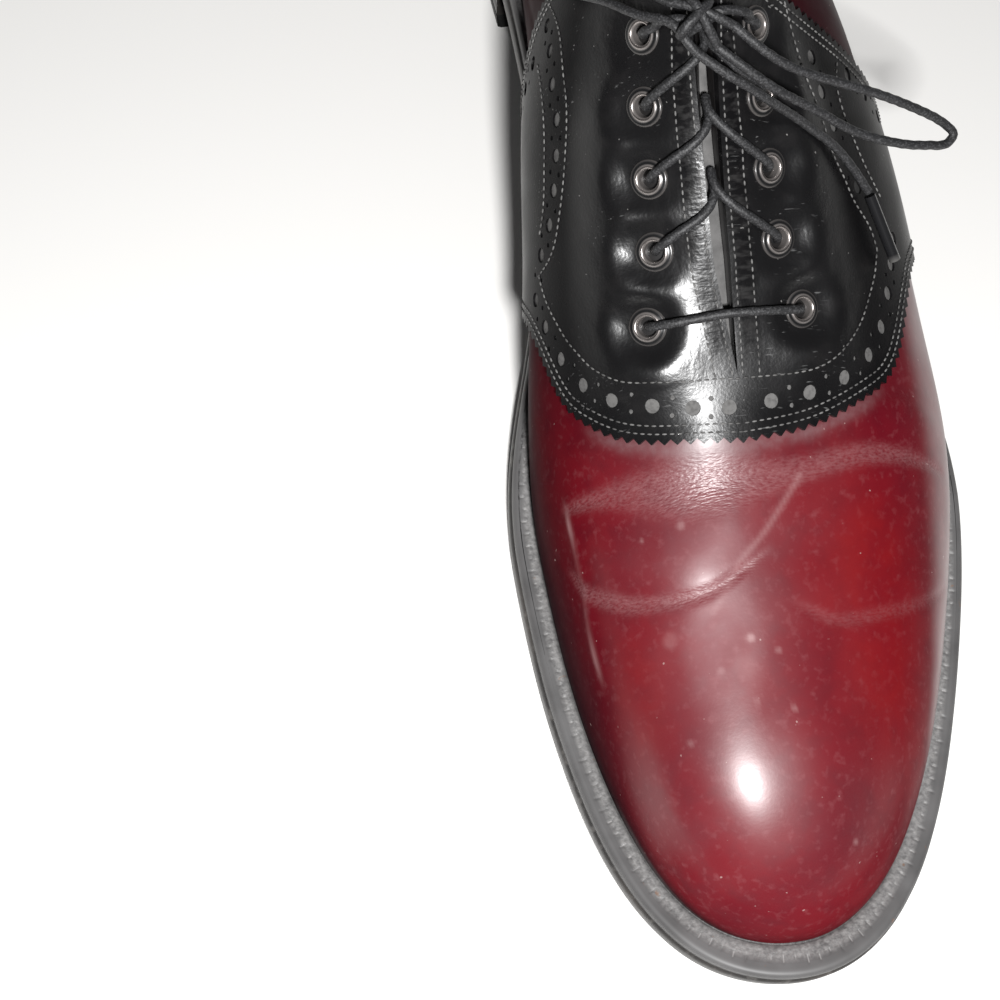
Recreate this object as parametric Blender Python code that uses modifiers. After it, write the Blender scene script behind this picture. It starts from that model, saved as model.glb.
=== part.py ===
"""Left saddle oxford: burgundy upper, black saddle, welted sole and stacked heel.

Metres, +Z up. The toe points to -Y, the medial side is -X, and the shoe stands on its forefoot and its heel.
Most sizes are read in the shoemaker's way: "along" is the distance from the back of the feather line
towards the toe, the feather line is where upper and sole meet, and a rib is one section of the last's wall.
"""

import math
from collections import namedtuple

import bmesh
import bpy
import numpy as np
from mathutils import Matrix, Vector

MM = 0.001

# Driving dimensions of the sole
SOLE_THICKNESS = 6.0 * MM
SOLE_EDGE_ROUND = 1.2 * MM
HEEL_SEAT_HEIGHT = 25.0 * MM
HEEL_SEAT_END = 48.0 * MM
TREAD_START = 196.0 * MM
TREAD_END = 226.0 * MM
TOE_SPRING = 10.0 * MM
TOE_SPRING_END = 305.0 * MM
WELT_THICKNESS = 3.2 * MM
WELT_STEP = 0.6 * MM
WELT_ROUND = 1.0 * MM
HEEL_BREAST = 62.0 * MM
HEEL_TAPER = 1.5 * MM
HEEL_LIFT_THICKNESS = 6.0 * MM
INSOLE_THICKNESS = 3.0 * MM
SEAT_GAP = 0.3 * MM
SHARP_ANGLE = math.radians(40)

# Driving dimensions of the upper
UPPER_WALL = 2.0 * MM
SADDLE_GAP = 0.5 * MM
SADDLE_WALL = 1.3 * MM
SADDLE_OUTSIDE = SADDLE_GAP + SADDLE_WALL
THROAT_ALONG = 186.0 * MM
THROAT_HALF_GAP = 1.5 * MM
THROAT_GAP_RUN = 20.0 * MM
RIDGE_END_ALONG = 104.0 * MM
FACING_TOP_ALONG = 119.0 * MM
TONGUE_GAP = 0.7 * MM
TONGUE_WALL = 2.0 * MM
TONGUE_ROOT_ALONG = 196.0 * MM
TONGUE_TOP_ALONG = 111.0 * MM
TONGUE_ROOT_HALF_WIDTH = 17.0 * MM
TONGUE_TOP_HALF_WIDTH = 26.0 * MM
TONGUE_CREST_ROUNDING = 4

# Driving dimensions of the lacing
EYELET_PAIRS = 5
EYELET_FIRST = 13.0 * MM
EYELET_PITCH = 14.6 * MM
EYELET_FROM_RIDGE = [15.2 * MM, 11.2 * MM, 11.0 * MM, 11.0 * MM, 11.5 * MM]
EYELET_FLANGE_RADIUS = 4.0 * MM
EYELET_BARREL_RADIUS = 2.45 * MM
EYELET_HOLE_RADIUS = 1.95 * MM
EYELET_FLANGE_LIFT = 0.45 * MM
EYELET_FLANGE_HEIGHT = 0.75 * MM
EYELET_BARREL_DEPTH = 3.2 * MM
EYELET_CUT_RADIUS = 2.8 * MM
EYELET_CUT_DEPTH = 10.0 * MM
EYELET_STEPS = 12
LACE_DIAMETER = 2.4 * MM
LACE_POINT_SPACING = 2.3 * LACE_DIAMETER
LACE_EYELET_CLEARANCE = 0.8 * MM
LACE_RIDGE_CLEARANCE = 1.6 * MM
AGLET_DIAMETER = 2.8 * MM

# Sections of the last from toe tip to heel back, in millimetres and shares.
# medial, lateral: feather line on each side of the axis.
# top_along, ridge, spread, top: the rib's upper end, where spread is half the opening of the cone.
# lean_*: how far the wall's lower handle leans out, and rise its height as a share of the rib.
# reach, drop: how far the upper handle goes out and down, as shares.
Section = namedtuple(
    "Section",
    "along medial lateral top_along ridge spread top lean_medial lean_lateral rise reach drop",
)
SECTIONS = [
    Section(296.0, -2.5, -2.5, 296.0, -2.5, 0.0, 14.3, 0.0, 0.0, 0.55, 0.55, 0.00),
    Section(292.5, -16.0, 10.0, 292.5, -4.0, 0.0, 29.0, 0.6, 0.6, 0.55, 0.55, 0.00),
    Section(285.0, -24.5, 19.0, 285.0, -6.0, 0.0, 38.0, 1.5, 1.5, 0.56, 0.56, 0.00),
    Section(272.0, -31.5, 28.0, 272.0, -7.5, 0.0, 45.0, 2.5, 2.5, 0.57, 0.57, 0.00),
    Section(255.0, -36.5, 36.0, 255.0, -7.5, 0.0, 49.0, 3.5, 3.5, 0.58, 0.57, 0.00),
    Section(235.0, -40.0, 43.0, 235.0, -7.0, 0.0, 52.5, 4.0, 4.0, 0.58, 0.57, 0.00),
    Section(212.0, -42.0, 49.0, 212.0, -5.5, 0.0, 57.0, 4.5, 4.5, 0.58, 0.56, 0.00),
    Section(190.0, -42.0, 51.5, 190.0, -4.5, 0.0, 65.0, 6.5, 6.0, 0.56, 0.55, 0.00),
    Section(167.0, -37.5, 48.5, 168.0, -6.0, 0.0, 77.0, 12.5, 10.0, 0.52, 0.53, 0.03),
    Section(145.0, -31.5, 43.5, 148.0, -7.0, 0.0, 91.0, 19.0, 16.0, 0.50, 0.50, 0.06),
    Section(125.0, -28.0, 39.0, 130.0, -7.5, 0.0, 105.0, 22.0, 18.0, 0.47, 0.46, 0.10),
    Section(107.0, -26.5, 35.5, 115.0, -6.5, 0.5, 118.0, 20.5, 17.0, 0.43, 0.38, 0.16),
    Section(90.0, -27.0, 33.0, 102.0, -4.0, 6.0, 125.5, 15.0, 12.0, 0.38, 0.25, 0.24),
    Section(70.0, -28.5, 31.5, 80.0, -1.0, 19.5, 127.0, 8.5, 7.5, 0.34, 0.08, 0.30),
    Section(45.0, -30.5, 31.5, 50.0, 0.0, 24.5, 122.0, 5.0, 5.0, 0.33, 0.06, 0.33),
    Section(20.0, -27.0, 27.0, 25.0, 0.0, 20.0, 118.0, 4.5, 4.5, 0.33, 0.06, 0.33),
    Section(6.0, -16.5, 16.5, 13.0, 0.0, 11.0, 116.0, 4.5, 4.5, 0.33, 0.06, 0.33),
    Section(0.0, 0.0, 0.0, 8.5, 0.0, 0.0, 115.0, 5.0, 5.0, 0.33, 0.06, 0.33),
]

# Width of the sole's edge beyond the feather line, in millimetres
SoleEdge = namedtuple("SoleEdge", "along beyond")
SOLE_EDGES = [
    SoleEdge(0.0, 4.0),
    SoleEdge(110.0, 4.0),
    SoleEdge(160.0, 4.5),
    SoleEdge(200.0, 6.0),
    SoleEdge(250.0, 6.6),
    SoleEdge(285.0, 7.3),
    SoleEdge(296.0, 8.0),
]

# Height of the collar behind the facings' top corner, by the feather distance of the rib, in millimetres
CollarHeight = namedtuple("CollarHeight", "along height")
COLLAR = [
    CollarHeight(0.0, 98.0),
    CollarHeight(8.0, 97.0),
    CollarHeight(22.0, 91.5),
    CollarHeight(42.0, 85.5),
    CollarHeight(60.0, 84.5),
    CollarHeight(78.0, 88.0),
    CollarHeight(93.0, 94.5),
    CollarHeight(104.0, 102.5),
]

# The saddle's front and rear edges: share of the rib's height, and feather distance in millimetres
SaddleEdge = namedtuple("SaddleEdge", "share front_medial front_lateral rear_medial rear_lateral")
SADDLE_EDGES = [
    SaddleEdge(0.00, 151.0, 147.0, 111.0, 124.0),
    SaddleEdge(0.15, 154.0, 150.0, 109.0, 123.0),
    SaddleEdge(0.27, 160.0, 155.0, 107.0, 122.0),
    SaddleEdge(0.38, 169.5, 162.0, 104.5, 121.0),
    SaddleEdge(0.46, 181.0, 172.0, 102.0, 120.0),
    SaddleEdge(0.55, 188.5, 184.0, 99.0, 118.5),
    SaddleEdge(0.65, 193.5, 190.5, 97.0, 116.5),
    SaddleEdge(0.80, 197.0, 196.5, 93.5, 112.0),
    SaddleEdge(1.00, 199.0, 199.0, 88.0, 105.0),
]

# Routes of the bow's cords through hand-chosen points: x, along, height, in millimetres
KNOT_CENTRE = (-10.5, 131.5, 113.2)
KNOT_RADII = (6.5, 5.0, 4.0)
LATERAL_LOOP = [
    (-3.4, 132.7, 112.4),
    (1.2, 136.2, 110.0),
    (6.2, 138.6, 106.9),
    (14.6, 140.2, 102.4),
    (23.5, 141.0, 97.8),
    (33.0, 141.5, 91.5),
    (40.4, 142.2, 86.1),
    (45.0, 143.2, 82.3),
    (46.4, 144.6, 80.9),
    (45.2, 146.0, 80.5),
    (41.6, 146.8, 81.4),
    (37.5, 147.1, 82.9),
    (31.5, 147.0, 85.4),
    (22.6, 145.6, 89.6),
    (14.5, 143.8, 95.8),
    (6.0, 142.4, 102.4),
    (-0.5, 139.8, 107.0),
    (-6.6, 135.6, 110.0),
]
LATERAL_END = [
    (-10.5, 136.2, 109.4),
    (-4.5, 139.8, 106.4),
    (0.5, 141.6, 103.0),
    (5.6, 142.6, 98.2),
    (11.0, 143.0, 92.4),
    (16.0, 143.8, 87.0),
    (20.6, 144.8, 82.2),
    (25.2, 147.4, 76.9),
    (29.4, 151.0, 71.4),
]
LATERAL_AGLET = [(29.7, 151.6, 70.9), (35.0, 163.0, 62.2)]
MEDIAL_LOOP = [
    (-15.2, 126.9, 113.2),
    (-18.4, 123.4, 112.2),
    (-22.0, 117.6, 109.6),
    (-25.4, 110.9, 105.6),
    (-28.4, 104.6, 99.4),
    (-31.0, 98.7, 92.2),
    (-33.6, 94.2, 85.0),
    (-35.6, 92.4, 79.2),
    (-36.4, 93.6, 76.8),
    (-36.2, 96.6, 78.0),
    (-35.3, 100.2, 81.2),
    (-33.6, 105.9, 87.8),
    (-31.0, 111.2, 95.0),
    (-27.8, 116.5, 100.8),
    (-24.2, 121.5, 105.6),
    (-20.3, 126.6, 109.2),
    (-16.9, 129.3, 111.6),
]
MEDIAL_END = [
    (-12.0, 126.7, 115.4),
    (-13.2, 123.4, 115.8),
    (-15.6, 119.4, 114.0),
    (-18.8, 115.2, 110.8),
    (-22.0, 110.8, 106.2),
    (-25.0, 106.2, 100.4),
    (-27.6, 101.4, 93.6),
    (-29.7, 96.8, 86.8),
    (-31.3, 92.8, 80.6),
    (-32.4, 89.6, 75.4),
]
MEDIAL_AGLET = [(-32.5, 89.4, 75.1), (-35.1, 81.9, 62.9)]

# Finish of each kind of piece: colour, roughness, metallic
FINISHES = {
    "burgundy_leather": ((0.17, 0.012, 0.016), 0.28, 0.0),
    "black_leather": ((0.012, 0.011, 0.012), 0.30, 0.0),
    "tongue_leather": ((0.05, 0.048, 0.046), 0.55, 0.0),
    "sole_leather": ((0.035, 0.032, 0.030), 0.45, 0.0),
    "heel_rubber": ((0.018, 0.018, 0.018), 0.70, 0.0),
    "insole_leather": ((0.42, 0.27, 0.15), 0.60, 0.0),
    "eyelet_metal": ((0.05, 0.05, 0.055), 0.25, 1.0),
    "lace_cord": ((0.03, 0.03, 0.032), 0.75, 0.0),
    "aglet_film": ((0.02, 0.02, 0.02), 0.20, 0.0),
}


# The last: one function for the outside of the upper, which every other piece is measured from


def sole_bottom(along):
    """Height of the outsole's underside: heel seat, arch, flat tread and toe spring."""
    down = np.clip((along - HEEL_SEAT_END) / (TREAD_START - HEEL_SEAT_END), 0, 1)
    arch = HEEL_SEAT_HEIGHT * (1 - down**2 * (3 - 2 * down))
    up = np.clip((along - TREAD_END) / (TOE_SPRING_END - TREAD_END), 0, None)
    return arch + TOE_SPRING * up**2


def feather_height(along):
    """Height of the upper's lower edge, which stands on the outsole."""
    return sole_bottom(along) + SOLE_THICKNESS + SEAT_GAP


def spline(knots, rows):
    """A function of x for the natural cubic spline through rows of columns."""
    gaps = np.diff(knots)
    matrix = np.eye(len(knots))
    bends = np.zeros_like(rows)
    for i in range(1, len(knots) - 1):
        matrix[i, i - 1 : i + 2] = gaps[i - 1] / 6, (gaps[i - 1] + gaps[i]) / 3, gaps[i] / 6
        bends[i] = (rows[i + 1] - rows[i]) / gaps[i] - (rows[i] - rows[i - 1]) / gaps[i - 1]
    curvature = np.linalg.solve(matrix, bends)

    def at(x):
        i = np.clip(np.searchsorted(knots, x) - 1, 0, len(knots) - 2)
        gap = gaps[i][..., None]
        b = (x - knots[i])[..., None] / gap
        a = 1 - b
        bent = (a**3 - a) * curvature[i] + (b**3 - b) * curvature[i + 1]
        return a * rows[i] + b * rows[i + 1] + bent * gap**2 / 6

    return at


class Last:
    """The outside of the upper at s along the feather line and t up a rib, from feather (0) to top (1).

    s runs from the toe tip down the medial side to the heel back, and up the lateral side to the toe again.
    Points are (x, along, height).
    """

    WRAP = 4

    def __init__(self, sections):
        rows = np.array(sections) * ([MM] * 9 + [1] * 3)
        self.sections = rows
        medial = self.columns_of(rows, -1)
        lateral = self.columns_of(rows, 1)
        loop = np.vstack([medial, lateral[-2::-1]])
        # Past the toe tip, where a rib shrinks to a point, its height and width change sign
        carry_on = np.array([1, 1, 1, 1, 1, -1, -1, -1, 1, 1, 1])
        loop = np.vstack([loop[-1 - self.WRAP : -1] * carry_on, loop, loop[1 : 1 + self.WRAP] * carry_on])
        half_width = (rows[:, 2] - rows[:, 1]) / 2
        steps = np.hypot(np.diff(half_width), np.diff(rows[:, 0]))
        round_trip = np.concatenate([steps, steps[::-1]])
        round_trip = np.concatenate([round_trip[-self.WRAP :], round_trip, round_trip[: self.WRAP]])
        knots = np.concatenate([[0], np.cumsum(round_trip)])
        self.columns = spline(knots - knots[self.WRAP], loop)
        self.heel = steps.sum()
        self.length = 2 * self.heel

    @staticmethod
    def columns_of(rows, side):
        """Columns of one side: x, along, ridge, top along, spread, rib height, lean, half width, shares."""
        x = rows[:, 1 if side < 0 else 2]
        lean = rows[:, 7 if side < 0 else 8]
        rib_height = rows[:, 6] - feather_height(rows[:, 0])
        half_width = (rows[:, 2] - rows[:, 1]) / 2
        shape = [x, rows[:, 0], rows[:, 4], rows[:, 3], rows[:, 5], rib_height, lean, half_width]
        return np.column_stack(shape + [rows[:, 9], rows[:, 10], rows[:, 11]])

    def outward(self, s):
        """Level direction out of the feather line, as (x, along, 0)."""
        step = 0.05 * MM
        run = (self.columns(s + step) - self.columns(s - step))[..., :2]
        run = run / np.linalg.norm(run, axis=-1, keepdims=True)
        return np.stack([run[..., 1], -run[..., 0], np.zeros_like(run[..., 0])], -1)

    def handles(self, s):
        """The four points of the rib's curve."""
        column = np.moveaxis(self.columns(s), -1, 0)
        x, along, ridge, top_along, spread, rib_height, lean, half_width, rise, reach, drop = column
        side = np.where(s % self.length < self.heel, -1.0, 1.0)
        slit = THROAT_HALF_GAP * np.clip((THROAT_ALONG - top_along) / THROAT_GAP_RUN, 0, 1)
        base = feather_height(along)
        up = np.array([0.0, 0.0, 1.0])
        feather = np.stack([x, along, base], -1)
        top = np.stack([ridge + side * (np.maximum(spread, 0) + slit), top_along, base + rib_height], -1)
        low = feather + self.outward(s) * lean[..., None] + up * (rise * rib_height)[..., None]
        towards = (feather - top) * [1, 1, 0]
        towards = towards / np.maximum(np.linalg.norm(towards, axis=-1, keepdims=True), 1e-9)
        high = top + towards * np.abs(reach * half_width)[..., None] - up * (drop * rib_height)[..., None]
        return feather, low, high, top

    def point(self, s, t):
        s, t = np.broadcast_arrays(np.asarray(s, float), np.asarray(t, float))
        feather, low, high, top = self.handles(s)
        t = t[..., None]
        u = 1 - t
        return feather * u**3 + 3 * low * u**2 * t + 3 * high * u * t**2 + top * t**3

    def normal(self, s, t):
        s, t = np.broadcast_arrays(np.asarray(s, float), np.asarray(t, float))
        feather, low, high, top = self.handles(s)
        step = 0.02 * MM
        along_s = self.point(s + step, t) - self.point(s - step, t)
        t = t[..., None]
        u = 1 - t
        along_t = (low - feather) * u**2 + 2 * (high - low) * u * t + (top - high) * t**2
        cross = np.cross(along_s, along_t)
        length = np.linalg.norm(cross, axis=-1, keepdims=True)
        tip = np.array([0.0, 1.0, 0.0])
        return np.where(length > 1e-15, cross / np.maximum(length, 1e-15), tip)

    def above(self, s, t, height):
        """Point that height away from the surface."""
        return self.point(s, t) + self.normal(s, t) * np.asarray(height)[..., None]

    def other_side(self, s):
        return self.length - s

    def medial_of(self, column, value):
        """Medial s at which a column that falls from toe to heel (1 along, 3 top along) has this value."""
        s = np.linspace(0, self.heel, 4001)
        return np.interp(-np.asarray(value, float), -self.columns(s)[:, column], s)

    def rib_share(self, s, height):
        """t at which the rib at s is this high above the floor."""
        t = np.linspace(0, 1, 801)
        return np.interp(height, self.point(np.full_like(t, s), t)[:, 2], t)

    def share_from_top(self, s, distance):
        """t of the point that lies this far down the rib from its top."""
        t = np.linspace(1, 0.2, 1601)
        points = self.point(np.full_like(t, s), t)
        walked = np.concatenate([[0], np.cumsum(np.linalg.norm(np.diff(points, axis=0), axis=1))])
        return np.interp(distance, walked, t)

    def up_the_ridge(self, distance):
        """Medial s reached by walking this far up the ridge from the throat's lower end."""
        s = np.linspace(self.medial_of(3, THROAT_ALONG), self.medial_of(3, RIDGE_END_ALONG), 1601)
        points = self.point(s, np.ones_like(s))
        walked = np.concatenate([[0], np.cumsum(np.linalg.norm(np.diff(points, axis=0), axis=1))])
        return np.interp(distance, walked, s)


LAST = Last(SECTIONS)


def sole_outline(s, beyond):
    """(x, along) of the sole's edge, moved out by a further distance."""
    feather = LAST.columns(s)[..., :2]
    table = np.array(SOLE_EDGES) * MM
    width = np.interp(feather[..., 1], table[:, 0], table[:, 1]) + beyond
    return feather + LAST.outward(s)[..., :2] * width[..., None]


# The origin lies under the middle of the sole's box
OUTLINE = sole_outline(np.linspace(0, LAST.length, 2001), 0.0)
MIDDLE = (OUTLINE.min(axis=0) + OUTLINE.max(axis=0)) / 2


def to_frame(points):
    """(x, along, height) to the part's X, Y, Z, with the toe at -Y."""
    points = np.asarray(points, float)
    return np.stack([points[..., 0] - MIDDLE[0], MIDDLE[1] - points[..., 1], points[..., 2]], -1)


# Scene and mesh helpers


def clear_scene():
    for obj in list(bpy.data.objects):
        bpy.data.objects.remove(obj, do_unlink=True)


def new_collection(name):
    collection = bpy.data.collections.new(name)
    bpy.context.scene.collection.children.link(collection)
    return collection


clear_scene()
SHOE = new_collection("saddle_oxford")
CUTTERS = new_collection("cutters")


def finish(name):
    """The material of a finish, made the first time that it is asked for."""
    material = bpy.data.materials.get(name)
    if material is None:
        colour, roughness, metallic = FINISHES[name]
        material = bpy.data.materials.new(name)
        material.use_nodes = True
        shader = material.node_tree.nodes["Principled BSDF"]
        shader.inputs["Base Color"].default_value = (*colour, 1.0)
        shader.inputs["Roughness"].default_value = roughness
        shader.inputs["Metallic"].default_value = metallic
    return material


def add_object(name, data, finish_name):
    obj = bpy.data.objects.new(name, data)
    SHOE.objects.link(obj)
    data.materials.append(finish(finish_name))
    return obj


def mesh_from(name, points, faces, weld=0.01 * MM, closed=False):
    """A mesh of lofted faces with coincident points merged; a closed one has its faces turned outwards."""
    mesh = bpy.data.meshes.new(name)
    work = bmesh.new()
    corners = [work.verts.new(point) for point in points]
    for face in faces:
        work.faces.new([corners[i] for i in face])
    bmesh.ops.remove_doubles(work, verts=work.verts, dist=weld)
    bmesh.ops.dissolve_degenerate(work, edges=work.edges, dist=weld)
    if closed:
        bmesh.ops.recalc_face_normals(work, faces=work.faces)
    work.to_mesh(mesh)
    work.free()
    mesh.shade_smooth()
    mesh.set_sharp_from_angle(angle=SHARP_ANGLE)
    return mesh


def grid_faces(columns, rows, first=0):
    """Quads of a sheet of points stored column by column."""
    faces = []
    for c in range(columns - 1):
        for r in range(rows - 1):
            a = first + c * rows + r
            faces.append((a, a + rows, a + rows + 1, a + 1))
    return faces


# Sole pieces: plates lofted across the shoe, from one station to the next


FACING_TOP = LAST.medial_of(3, FACING_TOP_ALONG)
THROAT = LAST.medial_of(3, THROAT_ALONG)


def shared_stations():
    """Medial s of the ribs that sole and upper share, so that their facets lie side by side."""
    tread_end = LAST.medial_of(1, TREAD_END)
    tread_start = LAST.medial_of(1, TREAD_START)
    toe = tread_end * np.array([0.0, 0.04, 0.10, 0.18, 0.27, 0.36, 0.46, 0.56, 0.67, 0.78, 0.89])
    tread = np.linspace(tread_end, tread_start, 4)[:-1]
    throat = np.linspace(tread_start, THROAT, 2)[:-1]
    facing = np.linspace(THROAT, FACING_TOP, 9)[:-1]
    shares = [0.0, 0.035, 0.075, 0.12, 0.17, 0.23, 0.31, 0.41, 0.52, 0.63, 0.73, 0.81, 0.88, 0.945, 1.0]
    quarter = FACING_TOP + (LAST.heel - FACING_TOP) * np.array(shares)
    return np.concatenate([toe, tread, throat, facing, quarter])


STATIONS = shared_stations()


def stations_behind(along):
    """The shared stations behind a feather distance, with one exactly on it."""
    first = LAST.medial_of(1, along)
    return np.concatenate([[first], STATIONS[STATIONS > first + 1 * MM]])


def plate(name, at, levels, finish_name):
    """A solid across the shoe: at each station its sides climb through levels of (edge, height) functions."""
    ring = 2 * len(levels)
    points = []
    for s in at:
        sides = []
        for side_s in (s, LAST.other_side(s)):
            sides.append([])
            for edge, height in levels:
                x, along = edge(np.array(side_s))
                sides[-1].append((x, along, float(height(along))))
        points += sides[0] + sides[1][::-1]
    faces = []
    for c in range(len(at) - 1):
        for r in range(ring):
            a = c * ring + r
            b = c * ring + (r + 1) % ring
            faces.append((a, b, b + ring, a + ring))
    last_ring = (len(at) - 1) * ring
    faces.append(tuple(range(last_ring, last_ring + ring)))
    faces.append(tuple(range(ring - 1, -1, -1)))
    mesh = mesh_from(name, to_frame(points), faces, closed=True)
    return add_object(name, mesh, finish_name)


def edge_beyond(beyond):
    """Edge function: the sole's outline moved out by a distance."""
    return lambda s: sole_outline(s, beyond)


def edge_inside(inset):
    """Edge function: the feather line moved in by a distance."""
    return lambda s: LAST.columns(s)[..., :2] - LAST.outward(s)[..., :2] * inset


def sole_level(up):
    """Height function: a distance above the outsole's underside."""
    return lambda along: sole_bottom(along) + up


def floor_level(up):
    """Height function: a distance above the floor."""
    return lambda along: up


def build_outsole():
    levels = [
        (edge_beyond(-SOLE_EDGE_ROUND), sole_level(0.0)),
        (edge_beyond(0.0), sole_level(SOLE_EDGE_ROUND)),
        (edge_beyond(0.0), sole_level(SOLE_THICKNESS)),
    ]
    return plate("outsole", STATIONS, levels, "sole_leather")


def build_insole():
    inset = UPPER_WALL + 2 * SEAT_GAP
    foot = SOLE_THICKNESS + SEAT_GAP
    levels = [
        (edge_inside(inset), sole_level(foot)),
        (edge_inside(inset), sole_level(foot + INSOLE_THICKNESS)),
    ]
    return plate("insole", STATIONS, levels, "insole_leather")


def build_heel():
    at = stations_behind(HEEL_BREAST)
    stack_foot = HEEL_LIFT_THICKNESS + SEAT_GAP
    stack = [
        (edge_beyond(-HEEL_TAPER), floor_level(stack_foot)),
        (edge_beyond(-WELT_STEP), sole_level(-SEAT_GAP)),
    ]
    lift = [
        (edge_beyond(-HEEL_TAPER - WELT_STEP), floor_level(0.0)),
        (edge_beyond(-HEEL_TAPER), floor_level(HEEL_LIFT_THICKNESS)),
    ]
    plate("heel_stack", at, stack, "sole_leather")
    plate("heel_top_lift", at, lift, "heel_rubber")


def build_welt():
    """A strip on the outsole that hugs the upper's wall all the way round."""
    loop = np.concatenate([STATIONS, LAST.other_side(STATIONS[-2:0:-1])])
    bottom = SOLE_THICKNESS + SEAT_GAP
    top = bottom + WELT_THICKNESS
    points = []
    for s in loop:
        out = LAST.outward(np.array(s))
        feather = LAST.point(s, 0.0)
        wall = LAST.point(s, LAST.rib_share(s, feather[2] + WELT_THICKNESS))
        wall_lean = max(0.0, float((wall - feather) @ out))
        profile = [
            (feather + out * SEAT_GAP, bottom),
            (feather + out * (SEAT_GAP + wall_lean), top),
            (sole_outline(np.array(s), -WELT_STEP - WELT_ROUND), top),
            (sole_outline(np.array(s), -WELT_STEP), top - WELT_ROUND),
            (sole_outline(np.array(s), -WELT_STEP), bottom),
        ]
        points += [(place[0], place[1], float(sole_bottom(place[1])) + up) for place, up in profile]
    rows = len(profile)
    faces = []
    for c in range(len(loop)):
        step = rows if c < len(loop) - 1 else -c * rows
        for r in range(rows):
            a = c * rows + r
            b = c * rows + (r + 1) % rows
            faces.append((a + step, b + step, b, a))
    mesh = mesh_from("welt", to_frame(points), faces)
    return add_object("welt", mesh, "sole_leather")


# Upper and the pieces that are cut from its function


def make_collar_height():
    corner = LAST.columns(np.array(FACING_TOP))
    top_height = LAST.point(FACING_TOP, 1.0)[2]
    rows = [(row.along * MM, row.height * MM) for row in COLLAR] + [(corner[1], top_height)]
    table = np.array(rows)
    return spline(table[:, 0], table[:, 1:])


COLLAR_HEIGHT = make_collar_height()

# Shares of a rib at which upper and saddle have their points; the saddle starts at the second
RIB_SHARES = np.array([0.0, 0.055, 0.14, 0.24, 0.34, 0.45, 0.56, 0.66, 0.76, 0.85, 0.93, 1.0])


def top_share(s):
    """t of the upper's top edge: the ridge or facing edge in front, the collar behind."""
    medial_s = min(s, LAST.other_side(s))
    if medial_s <= FACING_TOP:
        return 1.0
    along = LAST.columns(np.array(medial_s))[1]
    return float(LAST.rib_share(s, COLLAR_HEIGHT(np.array(along))[0]))


def build_upper():
    """An open sheet on the last, given its wall inwards; the throat's slit and the collar stay open."""
    loop = np.concatenate([STATIONS, LAST.other_side(STATIONS[-2::-1])])
    points = [LAST.point(s, RIB_SHARES * top_share(s)) for s in loop]
    faces = grid_faces(len(loop), len(RIB_SHARES))
    mesh = mesh_from("upper", to_frame(np.vstack(points)), [face[::-1] for face in faces])
    obj = add_object("upper", mesh, "burgundy_leather")
    wall = obj.modifiers.new("wall", "SOLIDIFY")
    wall.thickness = UPPER_WALL
    wall.offset = -1.0
    wall.use_even_offset = True
    return obj


def saddle_edges(share, side):
    """Medial-style s of the saddle's rear and front edge at a share of the rib."""
    table = np.array(SADDLE_EDGES) * ([1] + [MM] * 4)
    front = np.interp(share, table[:, 0], table[:, 1 if side < 0 else 2])
    rear = np.interp(share, table[:, 0], table[:, 3 if side < 0 else 4])
    return LAST.medial_of(1, rear), LAST.medial_of(1, front)


def build_saddle():
    """A sheet just off the upper between two edges, joined across the ridge in front of the throat."""
    shares = RIB_SHARES[1:]
    points = []
    faces = []
    for side in (-1, 1):
        rear, front = saddle_edges(1.0, side)
        top_stations = np.concatenate(
            [
                np.linspace(front, THROAT, 3)[:-1],
                np.linspace(THROAT, FACING_TOP, 8)[:-1],
                np.linspace(FACING_TOP, rear, 7),
            ]
        )
        fractions = (top_stations - front) / (rear - front)
        first = len(points)
        for fraction in fractions:
            for share in shares:
                row_rear, row_front = saddle_edges(share, side)
                medial_s = row_front + (row_rear - row_front) * fraction
                s = medial_s if side < 0 else LAST.other_side(medial_s)
                points.append(LAST.above(s, share * top_share(s), SADDLE_GAP))
        sheet = grid_faces(len(fractions), len(shares), first)
        faces += [face[::-1] for face in sheet] if side < 0 else sheet
    mesh = mesh_from("saddle", to_frame(points), faces, weld=0.05 * MM)
    obj = add_object("saddle", mesh, "black_leather")
    wall = obj.modifiers.new("wall", "SOLIDIFY")
    wall.thickness = SADDLE_WALL
    wall.offset = 1.0
    wall.use_even_offset = True
    return obj


def build_tongue():
    """A strip under the facings that rises above them."""
    at = np.linspace(LAST.medial_of(3, TONGUE_ROOT_ALONG), LAST.medial_of(3, TONGUE_TOP_ALONG), 14)
    depth = UPPER_WALL + TONGUE_GAP
    across = 6
    points = []
    for i, s in enumerate(at):
        run = i / (len(at) - 1)
        width = TONGUE_ROOT_HALF_WIDTH + (TONGUE_TOP_HALF_WIDTH - TONGUE_ROOT_HALF_WIDTH) * run
        ridge = LAST.columns(np.array(s))[2]
        sides = []
        for side, side_s in ((-1, s), (1, LAST.other_side(s))):
            t = np.linspace(LAST.share_from_top(side_s, width), 1.0, 401)
            wall = LAST.above(np.full_like(t, side_s), t, np.full_like(t, -depth))
            before_ridge = np.count_nonzero(np.cumsum((wall[:, 0] - ridge) * side <= 0) == 0)
            walked = np.linspace(0, before_ridge - 1, across).round().astype(int)
            sides.append(wall[walked])
        crest = (sides[0][-1] + sides[1][-1]) / 2
        section = np.array([*sides[0][:-1], crest, *sides[1][-2::-1]])
        for _ in range(TONGUE_CREST_ROUNDING):
            section[1:-1] = (section[:-2] + 2 * section[1:-1] + section[2:]) / 4
        points += list(section)
    faces = grid_faces(len(at), 2 * across - 1)
    mesh = mesh_from("tongue", to_frame(points), [face[::-1] for face in faces])
    obj = add_object("tongue", mesh, "tongue_leather")
    wall = obj.modifiers.new("wall", "SOLIDIFY")
    wall.thickness = TONGUE_WALL
    wall.offset = -1.0
    wall.use_even_offset = True
    return obj


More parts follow.
